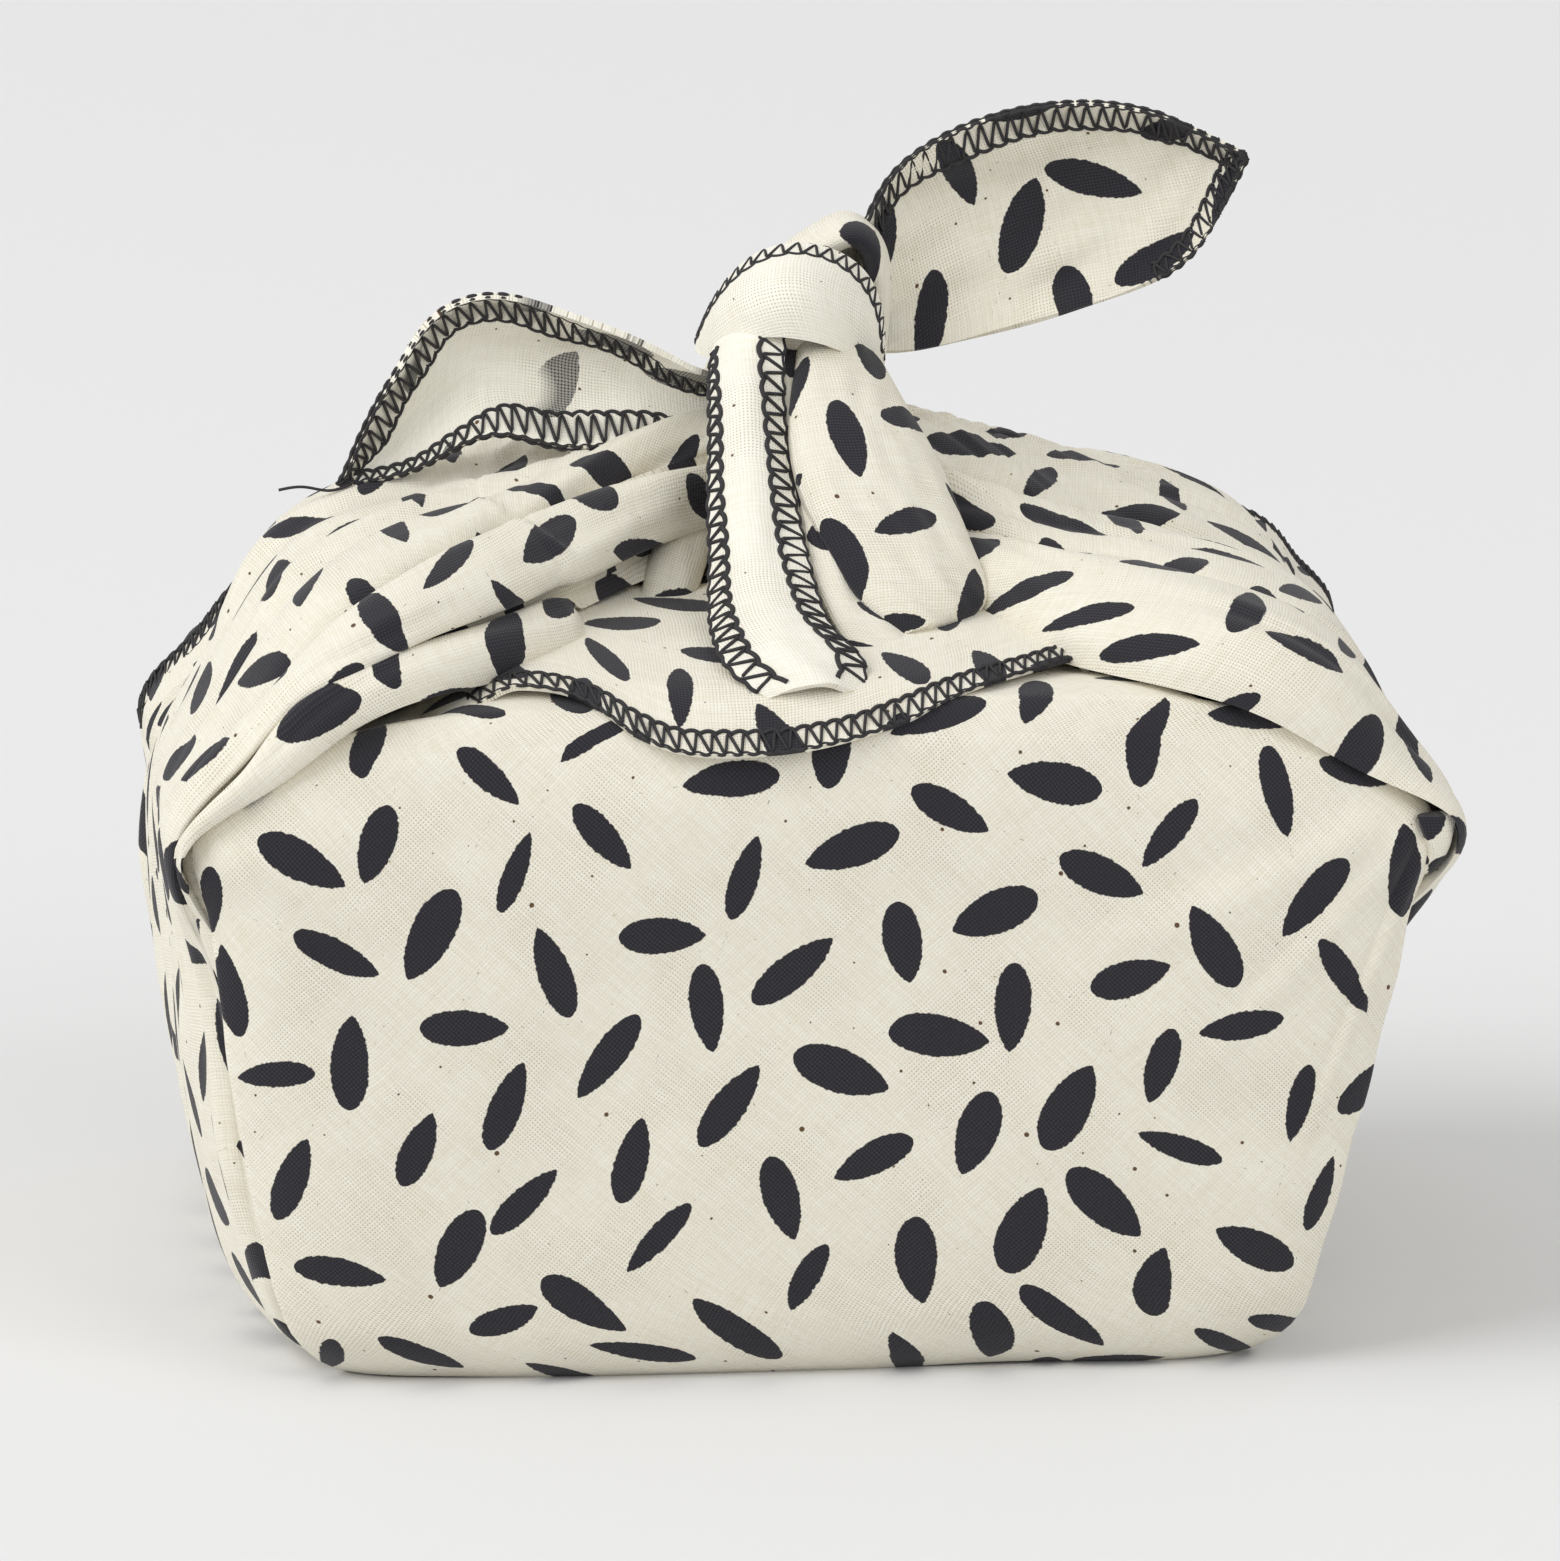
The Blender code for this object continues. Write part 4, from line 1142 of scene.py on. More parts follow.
@dataclass
class GatheredSide:
    """A side of the cloth, from the foot of the wall over the rim in rolls up to the knot."""

    name: str
    side: Side
    lines: tuple[FoldLine, ...]
    creases: Rows
    hidden_at: tuple[int, ...]  # the lines where cloth is tucked in between two rolls
    shape: BundleShape
    finishes: Finishes
    neck_half_width: float = 11.0
    inner_half_width: float = 3.0  # where the lines end inside the knot
    wall_inset: float = 0.5
    front_limits: tuple[float, ...] = (-0.93, -0.88, -0.80)  # how far forward each line climbs, as a share
    back_limit: float = 0.93
    wall_heights: tuple[float, ...] = (0.006, 0.03, 0.095, 0.24, 0.48, 0.72)  # shares of the rim's height
    dart: tuple[float, ...] = (2.0, 5.0, 10.0, 11.0, 7.0, 2.5)  # depth of the tuck behind the panel, going up
    pocket: tuple[float, float, float] | None = None  # way, width and depth of a pocket in the first roll
    back_lip: float = 2.4  # how far the sewn back edge turns up
    seam: float = 4.2
    depth: float = 12.0  # how far the hidden side lies in the bundle
    wall_rows: int = 60
    over_rows: int = 130
    flat_at: float = 340.0
    flat_step: float = 63.0  # the cloth that is hidden between two groups of rolls
    roll_columns: int = 22
    roll_power: float = 0.55

    def wall_route(self, line: FoldLine) -> Array:
        """Returns the points where a fold line climbs the wall, tucked a little behind the panels' folds."""
        heights = np.array(self.wall_heights)
        left, right, front, back, power = self.shape.wall_sizes(heights).T
        index = self.lines.index(line)
        inset = np.array(self.dart) if index == 0 else self.wall_inset
        reach = (left if self.side is Side.LEFT else right) * self.shape.half_width - inset
        limit = self.front_limits[min(index, len(self.front_limits) - 1)]
        share = np.clip(line.rim[1] / self.shape.half_depth, limit, self.back_limit)
        depth = (front if share < 0 else back) * self.shape.half_depth - self.wall_inset
        power = power + (4.0 if share > 0.3 else 1.5)
        x = self.side.value * reach * (1 - np.abs(share) ** power) ** (1 / power)
        return np.stack([x, share * depth, heights * self.shape.rim_corner], axis=1)

    def surface(self) -> tuple[Array, Array, Array]:
        """Works the surface out.

        Each fold line is a natural cubic through its points. Across the lines runs another one, and
        between two lines a roll swells out by r (4t(1 - t))^0.55, more towards the middle of the way.

        Returns:
            The smooth grid, the creased grid, and how far up the way from rim to knot each row is.
        """
        rails = []
        for line in self.lines:
            y, z = line.neck
            neck = (self.side.value * self.neck_half_width, y, z)
            inside = (self.side.value * self.inner_half_width, y * 0.6, z + 1.0)
            half_way = (np.array(line.rim) + np.array(line.shoulder)) / 2
            over = (line.rim, half_way, line.shoulder, line.saddle, neck, inside)
            route = np.vstack([self.wall_route(line), *over])
            knots = chord_knots(route)
            rim = knots[len(self.wall_heights)]
            at = np.concatenate([np.linspace(0, rim, self.wall_rows, endpoint=False),
                                 np.linspace(rim, knots[-1], self.over_rows)])
            rails.append(natural_cubic(knots, route, at))
        rolls = len(self.lines) - 1
        share = np.linspace(0, rolls, rolls * self.roll_columns + 1)
        grid = natural_cubic(np.arange(rolls + 1.0), np.array(rails), share).transpose(1, 0, 2)
        below = np.linspace(-1, 0, self.wall_rows, endpoint=False)
        way = np.concatenate([below, np.linspace(0, 1, self.over_rows)])
        swell = np.interp(way, (-0.22, 0.0, 0.2, 0.5, 1.0), (0.0, 0.30, 0.75, 1.0, 0.75))
        size = np.array([line.roll for line in self.lines])[np.minimum(share.astype(int), rolls - 1)]
        within = share - np.floor(share)
        bulge = (4 * within * (1 - within)) ** self.roll_power
        out = self.outward(grid)
        grid = grid + out * (swell[:, None] * (size * bulge)[None])[:, :, None]
        if self.pocket:
            start, width, depth = self.pocket
            sunk = soft_step(start, start + width, way)[:, None] * (1 - soft_step(0.80, 1.02, share))[None]
            grid = grid + sunk[:, :, None] * depth * np.array([0.1, 0.93, -0.35])
        lifted = soft_step(-0.12, 0.0, way) * (1 - soft_step(0.4, 0.6, way))
        turned = soft_step(rolls - 0.24, rolls, share)[None] * lifted[:, None]
        grid = grid + (self.back_lip * turned)[:, :, None] * np.array([0.0, 0.25, 0.97])
        return grid, self.creased(grid, way, share), way

    def outward(self, grid: Array) -> Array:
        """Returns normals that point away from the bundle."""
        normal = grid_normals(grid)
        away = grid - np.array([0.0, 0.0, 45.0])
        return normal * np.sign((normal * away).sum(axis=2).mean())

    def creased(self, grid: Array, way: Array, share: Array) -> Array:
        """Presses the creases in: each a soft trough along its own line, with a low lip beside it.

        Args:
            grid: The smooth surface.
            way: How far up the way each row is, below 0 on the wall.
            share: Which line or roll each column is on, counted from the front.

        Returns:
            The grid with its creases and an uneven ripple that grows towards the knot.
        """
        across = run_along(grid, 1)
        height = np.zeros(grid.shape[:2])
        for at_rim, at_neck, start, end, width, depth in self.creases:
            middle = at_rim + (at_neck - at_rim) * np.clip(way, 0, 1)
            column = np.array([np.interp(m, share, row) for m, row in zip(middle, across)])
            off = (across - column[:, None]) / width
            window = soft_step(start - 0.12, start + 0.1, way) * (1 - soft_step(end - 0.15, end + 0.05, way))
            height += window[:, None] * depth * (-np.exp(-off * off) + 0.5 * np.exp(-((off - 1.7) ** 2)))
        gather = soft_step(0.25, 0.95, way)[:, None]
        fine = ripple_over(grid, 11 + self.side.value, 5.5, 14.0)
        broad = ripple_over(grid, 21 + self.side.value, 19.0, 3.0)
        height += 0.38 * gather * fine + 0.32 * broad * soft_step(-0.9, -0.5, way)[:, None]
        return grid + self.outward(grid) * height[:, :, None]

    def flat(self, grid: Array, first: int, last: int, offset: float) -> Array:
        """Lays one group of rolls out flat from its middle column.

        Args:
            grid: The whole smooth surface.
            first: The group's first column.
            last: Its last column.
            offset: Where its middle lies across the flat cloth.

        Returns:
            Rows by the group's columns by 2. The rim lies at 0 along the cloth.
        """
        part = grid[:, first : last + 1]
        across, v = run_along(part, 1), run_along(part, 0)
        middle = across.shape[1] // 2
        u = across - across[:, middle : middle + 1] + offset
        return np.stack([u, v - v[self.wall_rows : self.wall_rows + 1]], axis=2)

    def underside(self, grid: Array, way: Array) -> Array:
        """Returns the hidden side: a straight line between each row's ends, moved into the bundle.

        Over the rim, the ends move straight back from the front and straight forward from the back, so
        that the closing strips face neither way. On the wall, every point moves straight in.

        Args:
            grid: The outer surface.
            way: How far up the way each row is, below 0 on the wall.
        """
        ends = np.linspace(0, 1, grid.shape[1])[None, :, None]
        chord = straight_between(grid[:, 0], grid[:, -1], grid.shape[1])
        over = soft_step(-0.25, -0.02, way)[:, None, None]
        middle = np.array([0.0, 0.0, 50.0]) - chord.mean(axis=1, keepdims=True)
        middle /= np.linalg.norm(middle, axis=2, keepdims=True)
        edge = np.array([0.0, 1.0, -0.12]) * (1 - ends) + np.array([0.0, -1.0, -0.12]) * ends
        bow = np.sin(np.pi * ends)
        level = np.array([-float(self.side.value), 0.0, 0.0])
        inward = over * (edge * (1 - bow) + middle * bow) + (1 - over) * level
        under = chord + inward * self.depth
        under[:, :, 2] = np.maximum(under[:, :, 2], 2.0)
        return under

    def build(self, thread: Overlock) -> Object:
        """Makes the closed piece, whose underside lies in the bundle, and sews its back edge."""
        smooth, grid, way = self.surface()
        under = self.underside(grid, way)
        piece = ClothMesh(self.name)
        near, far = piece.add(grid), piece.add(under)
        cuts = [0, *(c * self.roll_columns for c in self.hidden_at), grid.shape[1] - 1]
        flat_at = self.flat_at * self.side.value
        whole = self.flat(smooth, 0, grid.shape[1] - 1, flat_at)
        piece.patch(far, whole)
        for number, (first, last) in enumerate(zip(cuts, cuts[1:])):
            flat = self.flat(smooth, first, last, flat_at + self.flat_step * number)
            piece.patch(near[:, first : last + 1], flat)
            for column in {first, last} & {0, grid.shape[1] - 1}:
                whole[:, column] = flat[:, column - first]
        piece.close_rim(near, far, whole, self.depth)
        obj = piece.build(self.finishes.out)
        edge, inner, normal = seam_lines(grid, self.seam, last=True)
        sewn = slice(self.wall_rows - 2, -12)
        thread.along(edge[sewn], inner[sewn], facing(normal, np.array([0.0, 0.3, 1.0]))[sewn] * 1.2)
        return obj


@dataclass
class TopFlap:
    """The back corner drawn over the top, its tip hanging over the front edge."""

    shape: BundleShape
    finishes: Finishes
    edge: Rows = (
        # x, y
        (-62.0, -54.0), (-48.0, -59.5), (-34.9, -60.2), (-27.3, -64.8), (-20.0, -68.5), (-12.0, -69.5),
        (0.0, -69.0), (9.0, -66.8), (17.0, -63.5), (24.4, -59.5), (35.9, -52.2), (48.0, -42.0),
    )
    proud: float = 3.1  # how far it lies over the dome
    thickness: float = 0.9
    rim: float = 60.0  # how far forward the tip starts to hang down
    tip_reach: float = 9.5
    tip_drop: float = 5.0
    wave: float = 0.45  # height of the soft wave along its free edge
    back: float = 52.0
    back_drop: float = 3.2
    under_right: tuple[float, float, float] = (8.0, 32.5, 42.0)  # how deep, from where to where outwards,
    under_left: tuple[float, float, float] = (6.0, 39.0, 52.0)  # it goes down under the gathered sides
    flat_at: tuple[float, float] = (0.0, 620.0)
    seam: float = 3.3
    columns: int = 150
    rows: int = 60

    def surface(self) -> Array:
        """Works the surface out: the dome's height, less a drop past the front edge, with a soft wave."""
        line = smooth_line([(x, y, 0.0) for x, y in self.edge], self.columns)
        deep = np.linspace(0, 1, self.rows) ** 1.4
        y = line[None, :, 1] * (1 - deep[:, None]) + self.back * deep[:, None]
        x = np.broadcast_to(line[None, :, 0], y.shape)
        out = np.clip((-y - self.rim) / self.tip_reach, 0, 1)
        height = self.shape.roof_height(x, np.maximum(y, -66.0)) - self.tip_drop * out**2
        lift = self.proud + self.wave * np.sin(x / 9.0 + 1.0) * np.exp(-deep[:, None] * 14)
        lift = lift * (1 - 1.5 * deep[:, None] ** 3) - self.back_drop * soft_step(0.80, 1.0, deep)[:, None]
        for outwards, (dive, start, end) in ((x, self.under_right), (-x, self.under_left)):
            lift = lift - dive * soft_step(start, end, outwards)
        return np.stack([x, y, height + lift], axis=2)

    def build(self, thread: Overlock) -> Object:
        """Makes the sheet and sews its free edge."""
        grid = self.surface()
        flat = flat_from(grid, self.flat_at)
        up = np.array([0.0, 0.0, 1.0])
        obj = sheet_between("top_flap", grid, flat, self.thickness, self.finishes.out, up, "folded")
        edge, inner, normal = seam_lines(grid.transpose(1, 0, 2), self.seam, last=False)
        thread.along(edge, inner, facing(normal, up) * 1.6)
        return obj


@dataclass
class Knot:
    """The knot: its gathered trunk, its filled heart, the collar behind and the hood in front."""

    finishes: Finishes
    trunk_radii: Rows = (
        (88.0, 15.5), (96.0, 13.5), (106.0, 12.0), (116.0, 10.5), (126.0, 9.0),
    )
    trunk_middle: tuple[float, float] = (2.0, -1.0)
    trunk_flat_at: tuple[float, float] = (0.0, 200.0)
    pleat: float = 0.9
    heart_middle: Point = (3.0, -3.0, 129.0)
    heart_flat_at: tuple[float, float] = (60.0, 240.0)
    hood_flat_at: tuple[float, float] = (137.0, 300.0)
    collar_middle: Point = (3.0, 0.0, 129.0)
    collar_flat_at: tuple[float, float] = (220.0, 260.0)
    heart_radii: Point = (11.0, 12.0, 10.8)
    hood_low: Rows = (
        (-11.0, -6, 126.7), (-9.1, -12, 127.0), (-4.4, -17, 130.4), (-0.6, -18.5, 130.9),
        (4.2, -18, 129.7), (9.1, -13, 126.5), (12.6, -6, 123.9),
    )
    hood_middle: Rows = (
        (-10.6, -5.0, 127.2), (-9.4, -10.5, 131.8), (-5.0, -15.6, 136.0), (0.6, -17.2, 137.4),
        (6.0, -16.0, 135.6), (10.9, -11.5, 131.6), (13.4, -6.5, 126.0),
    )
    hood_top: Rows = (
        (-10.4, -3.0, 127.4), (-9.0, -5.6, 132.6), (-5.6, -7.6, 137.8), (1.2, -8.6, 141.0),
        (8.0, -8.8, 139.4), (12.6, -7.2, 133.6), (13.2, -6, 126.6),
    )
    collar_line: Rows = (
        (-7.6, 2, 122.0), (-7.0, 1, 128.0), (-4.0, 0, 133.6), (0.0, 0, 137.8), (5.0, 0, 141.4),
        (10.3, 0, 143.2), (13.8, 0, 140.9), (15.4, 0, 135.8), (15.3, 0, 130.0), (14.4, 0, 122.6),
    )
    collar_half_width: float = 6.8
    collar_half_thickness: float = 2.0
    collar_back: float = 1.6  # how far behind its line the collar has its middle
    thickness: float = 1.1
    seam: float = 3.0

    def trunk(self) -> Object:
        """Makes the gathered trunk: a tube whose radius ripples in uneven pleats."""
        table = np.array(self.trunk_radii)
        heights = np.linspace(table[0, 0], table[-1, 0], 30)
        radii = natural_cubic(table[:, 0], table[:, 1:], heights)[:, 0]
        turn = np.linspace(0, 2 * np.pi, 145)
        pleats = 0.9 * np.abs(np.sin(5.5 * turn + 0.4)) + 0.35 * np.sin(9 * turn + 1.0)
        reach = radii[:, None] + pleats[None] * self.pleat
        x = self.trunk_middle[0] + reach * np.cos(turn)[None]
        y = self.trunk_middle[1] + reach * np.sin(turn)[None]
        grid = np.stack([x, y, np.broadcast_to(heights[:, None], x.shape)], axis=2)
        flat = flat_from(grid, self.trunk_flat_at)
        return round_piece("gathered_trunk", grid, flat, grid[:, :, :2], self.finishes.out)

    def heart(self) -> Object:
        """Makes the filled heart of the knot: an ellipsoid with a few soft ridges."""
        polar = np.linspace(0.06, math.pi - 0.06, 40)[:, None]
        turn = np.linspace(0, 2 * np.pi, 97)[None]
        ridge = 1 + 0.02 * np.sin(4 * turn + 3 * polar)
        unit = np.stack([np.sin(polar) * np.cos(turn) * ridge, np.sin(polar) * np.sin(turn) * ridge,
                         np.broadcast_to(np.cos(polar), (40, 97))], axis=2)
        grid = unit * np.array(self.heart_radii) + np.array(self.heart_middle)
        flat = flat_from(grid, self.heart_flat_at)
        return round_piece("knot_heart", grid, flat, flat, self.finishes.out)

    def hood(self, thread: Overlock) -> Object:
        """Makes the band that comes over the knot's front, its plain face out and its top edge sewn."""
        rows = [smooth_line(line, 110) for line in (self.hood_low, self.hood_middle, self.hood_top)]
        grid = between(rows, 60)
        flat = flat_from(grid, self.hood_flat_at)
        grid = raised(grid, 0.16 * ripple_over(grid, 5, 16.0, 1.5, axis=0))
        front = np.array([0.0, -1.0, 0.6])
        faces = self.finishes.turned_bare
        obj = sheet_between("knot_hood", grid, flat, self.thickness, faces, front, "folded")
        edge, inner, normal = seam_lines(grid, self.seam, last=True)
        thread.along(edge, inner, facing(normal, front) * 1.5)
        return obj

    def collar(self) -> Object:
        """Makes the thicker band behind the hood: an arch, rounded across like a roll."""
        line = smooth_line(self.collar_line, 120)
        ahead = np.gradient(line, axis=0)
        out = np.cross(ahead, (0.0, 1.0, 0.0))
        out /= np.linalg.norm(out, axis=1, keepdims=True)
        out *= np.sign((out * (line - np.array(self.collar_middle))).sum(axis=1)).mean()
        turn = np.linspace(0.5 * np.pi, 2.5 * np.pi, 49)
        wide = self.collar_half_width * np.sign(np.cos(turn)) * np.abs(np.cos(turn)) ** 0.8
        thick = self.collar_half_thickness * np.sin(turn) - self.collar_half_thickness
        grid = line[:, None] + np.array([0.0, 1.0, 0.0]) * (wide + self.collar_back)[None, :, None]
        grid = grid + out[:, None] * thick[None, :, None]
        flat = flat_from(grid, self.collar_flat_at)
        return round_piece("knot_collar", grid, flat, flat, self.finishes.out)

    def build(self, thread: Overlock) -> list[Object]:
        """Makes every part of the knot."""
        return [self.trunk(), self.heart(), self.collar(), self.hood(thread)]


@dataclass(frozen=True)
class Puff:
    """A filled fold between two lines, swelling by a half circle to both sides of them."""

    name: str
    left: Rows
    right: Rows
    crown: float  # how far it swells outwards
    depth: float  # and inwards
    flat_at: tuple[float, float]
    seed: int  # of its fine creases
    behind: bool = False  # whether it is turned round to the back of the knot
    rows: int = 120
    columns: int = 61

    def build(self, finishes: Finishes) -> Object:
        """Makes the fold: it swells most in the middle of its length and draws in at both ends."""
        one, other = smooth_line(self.left, self.rows), smooth_line(self.right, self.rows)
        across = np.linspace(0, 1, self.columns)
        grid = straight_between(one, other, self.columns)
        out = forward(one, other)
        arch = (4 * across * (1 - across)) ** 0.5
        taper = np.sin(np.pi * np.clip(np.linspace(0.10, 0.94, self.rows), 0, 1)) ** 0.5
        swell = taper[:, None] * arch[None]
        front = grid + out[:, None] * (self.crown * swell)[:, :, None]
        rear = grid - out[:, None] * (self.depth * swell)[:, :, None]
        flat = flat_from(front, self.flat_at)
        fine = ripple_over(front, self.seed, 7.0, 4.0) * arch[None]
        front = front + out[:, None] * (0.22 * fine)[:, :, None]
        if self.behind:
            turned = np.array([1.0, -1.0, 1.0])
            front, rear = front * turned, rear * turned
        piece = ClothMesh(self.name)
        near, far = piece.add(front), piece.add(rear)
        piece.patch(near, flat)
        piece.patch(far, flat)
        piece.close_rim(near, far, flat)
        obj = piece.build(finishes.out)
        return obj


PUFFS = (
    Puff(
        "hanging_layer",
        left=(
            (-0.6, -10, 130.0), (-0.8, -18, 126.0), (-1.0, -25, 118.6), (0.0, -32, 111.0),
            (0.6, -39, 105.0), (2.4, -46, 99.6), (6.0, -52, 95.4), (12.0, -53.5, 93.4),
        ),
        right=(
            (6.0, -9, 128.0), (6.5, -17, 122.0), (7.0, -25, 114.5), (8.0, -32, 108.0),
            (9.0, -38, 102.5), (11.6, -43, 98.6), (14.4, -46.5, 95.6), (15.6, -48.0, 93.8),
        ),
        crown=1.4, depth=2.5, flat_at=(410.0, 330.0), seed=31,
    ),
    Puff(
        "hanging_lobe",
        left=(
            (2.2, -9, 131.0), (1.3, -16, 127.9), (0.0, -22, 123.8), (-0.7, -28, 118.3),
            (0.4, -33.5, 112.1), (3.2, -39, 106.4), (7.0, -44.5, 100.7), (12.2, -47.4, 96.4),
        ),
        right=(
            (9.0, -5, 128.0), (12.3, -9, 125.0), (15.0, -13, 120.8), (18.4, -19, 115.4),
            (21.0, -25, 109.9), (23.2, -32, 103.6), (24.2, -38, 99.0), (17.8, -44.0, 96.4),
        ),
        crown=4.2, depth=5.5, flat_at=(470.0, 330.0), seed=32,
    ),
    Puff(
        "rear_lobe",
        left=(
            (-3.0, -6, 130.0), (-6.0, -13, 124.0), (-9.0, -20, 117.0), (-11.5, -26, 110.0),
            (-12.5, -32, 103.0), (-9.0, -37.0, 95.0),
        ),
        right=(
            (7.0, -6, 130.0), (9.0, -13, 124.0), (10.0, -20, 117.0), (11.0, -26, 110.0),
            (11.0, -32, 103.0), (7.0, -37.0, 95.0),
        ),
        crown=3.2, depth=4.0, flat_at=(540.0, 330.0), seed=33, behind=True,
    ),
    Puff(
        "pocket_roll",
        left=(
            (-11.0, -8, 111.0), (-14.0, -13, 108.4), (-17.4, -18, 104.6), (-19.6, -24, 100.6),
            (-22.0, -30, 95.6), (-25.0, -35, 91.6),
        ),
        right=(
            (-7.0, -10, 110.0), (-9.4, -16, 105.3), (-11.4, -22, 101.1), (-13.6, -28, 97.1),
            (-16.4, -34, 92.6), (-20.0, -38, 90.0),
        ),
        crown=2.6, depth=3.0, flat_at=(600.0, 330.0), seed=34,
    ),
    Puff(
        "left_tuck",
        left=(
            (-83.6, -57.5, 75.0), (-82.8, -58.5, 70.0), (-80.6, -59.0, 62.0), (-77.4, -58.6, 53.0),
        ),
        right=(
            (-79.0, -64.0, 75.0), (-79.0, -63.6, 70.0), (-77.6, -62.8, 62.0), (-75.6, -61.6, 53.0),
        ),
        crown=1.5, depth=3.0, flat_at=(735.0, 330.0), seed=36,
    ),
    Puff(
        "right_tuck",
        left=(
            (77.5, -66.8, 75.2), (78.6, -66.6, 72.4), (79.6, -65.8, 69.6), (77.5, -64.0, 66.5),
        ),
        right=(
            (82.8, -65.4, 75.2), (82.4, -64.8, 72.4), (81.2, -63.5, 69.6), (78.2, -61.0, 66.5),
        ),
        crown=1.0, depth=3.0, flat_at=(800.0, 330.0), seed=37,
    ),
    Puff(
        "inner_roll",
        left=(
            (-9.0, -9, 108.5), (-10.0, -15, 105.0), (-10.5, -21, 101.6), (-12.0, -27, 98.5),
            (-13.6, -33, 95.0), (-13.0, -38, 92.0),
        ),
        right=(
            (-3.0, -9, 108.0), (-3.0, -16, 104.0), (-3.5, -23, 100.0), (-4.5, -30, 96.6),
            (-6.0, -36, 93.0), (-8.0, -40, 91.0),
        ),
        crown=2.4, depth=3.0, flat_at=(668.0, 330.0), seed=35,
    ),
)


@dataclass
class HangingBand:
    """The sewn strand that comes out of the hood and hangs in front of the knot."""

    finishes: Finishes
    left: Rows = (
        (-7.5, -9, 131.0), (-9.5, -14, 127.4), (-10.6, -19, 124.7), (-11.3, -25, 119.3),
        (-11.8, -31, 112.4), (-12.3, -38, 105.7), (-13.1, -46, 99.9), (-13.0, -54, 96.9),
        (-11.0, -60.4, 94.3), (-7.0, -63.2, 92.0),
    )
    right: Rows = (
        (0.6, -11, 133.5), (-0.6, -17, 129.9), (-1.2, -21.5, 123.7), (-1.3, -26, 117.9),
        (-0.9, -31.5, 112.2), (-0.1, -38, 106.8), (0.9, -45, 101.8), (2.9, -52.5, 97.9),
        (5.9, -59.0, 94.6), (5.0, -62.4, 92.0),
    )
    crown: float = 2.4
    thickness: float = 0.9
    left_seam: Rows = ((0.0, 1.2), (0.35, 1.7), (0.7, 3.2), (1.0, 4.0))
    right_seam: Rows = ((0.0, 3.2), (0.4, 3.6), (1.0, 3.9))
    pitch: float = 2.75
    gauge: float = 1.22
    flat_at: tuple[float, float] = (141.0, 336.0)
    rows: int = 130
    columns: int = 48

    def build(self, thread: Overlock) -> Object:
        """Makes the band: a sheet crowned between its two sewn edges."""
        left, right = smooth_line(self.left, self.rows), smooth_line(self.right, self.rows)
        middle = (left + right) / 2 + forward(left, right) * self.crown
        grid = between([left, middle, right], self.columns)
        flat = flat_from(grid, self.flat_at)
        grid = raised(grid, 0.14 * ripple_over(grid, 8, 9.0, 5.0))
        front = np.array([0.0, -1.0, 0.5])
        faces = self.finishes.turned_bare
        obj = sheet_between("hanging_band", grid, flat, self.thickness, faces, front, "folded")
        sewn = slice(12, -3)
        for last, width in ((False, self.left_seam), (True, self.right_seam)):
            edge, inner, normal = seam_lines(grid, width, last)
            thread.along(edge[sewn], inner[sewn], facing(normal, front)[sewn] * 1.4, self.pitch, self.gauge)
        return obj


@dataclass(frozen=True)
class Seam:
    """A sewn stretch of a free end's edge."""

    upper: bool  # on the upper line of the leaf, not on the lower one
    start: float  # share of the way to the tip
    width: Rows  # rows of (share of the way, width)
    offset: Rows = ((0.0, 0.0), (1.0, 0.0))  # rows of (share of the way, distance from the line)
    end: float = 1.0


@dataclass(frozen=True)
class FreeEnd:
    """A tied corner's free end: a leaf between two lines that meet at the corner's tip."""

    name: str
    lower: Rows
    upper: Rows
    hollow: Rows  # rows of (share of the way, depth of the hollow, how far it leans to the upper line)
    plain_in_front: bool
    seams: tuple[Seam, ...]
    flat_at: tuple[float, float]
    seed: int
    thickness: float = 0.9
    rows: int = 150
    columns: int = 56

    def surface(self) -> tuple[Array, Array]:
        """Works the leaf and its flat cloth out: straight across, pushed back by a parabola in between."""
        lower, upper = (evenly(smooth_line(line, 400), self.rows) for line in (self.lower, self.upper))
        across = np.linspace(0, 1, self.columns)
        grid = straight_between(lower, upper, self.columns)
        table = np.array(self.hollow)
        way = np.linspace(0, 1, self.rows)
        depth, lean = natural_cubic(table[:, 0], table[:, 1:], way).T[:, :, None]
        grid[:, :, 1] += depth * 4 * across * (1 - across) * (1 + lean * (across - 0.5))
        flat = flat_from(grid, self.flat_at)
        fine = ripple_over(grid, self.seed, 11.0, 3.5)
        creases = ripple_over(grid, self.seed + 50, 6.0, 8.0)
        soft = np.sin(np.pi * way).clip(0) ** 0.6
        gather = 1 - soft_step(0.0, 0.35, way)
        grid[:, :, 1] += 0.55 * soft[:, None] * fine + 0.4 * gather[:, None] * creases
        return grid, flat

    def build(self, finishes: Finishes, thread: Overlock) -> Object:
        """Makes the leaf and sews its cut edges on both faces."""
        grid, flat = self.surface()
        front = np.array([0.0, -1.0, 0.0])
        faces = finishes.turned if self.plain_in_front else finishes.out
        obj = sheet_between(self.name, grid, flat, self.thickness, faces, front, "hung")
        for seam in self.seams:
            last = self.rows - 1
            rows = slice(int(seam.start * last), int(seam.end * last) + 1)
            edge, inner, normal = seam_lines(grid, seam.width, seam.upper, seam.offset)
            for side in (1.4, -1.4):
                thread.along(edge[rows], inner[rows], facing(normal, front)[rows] * side)
        return obj


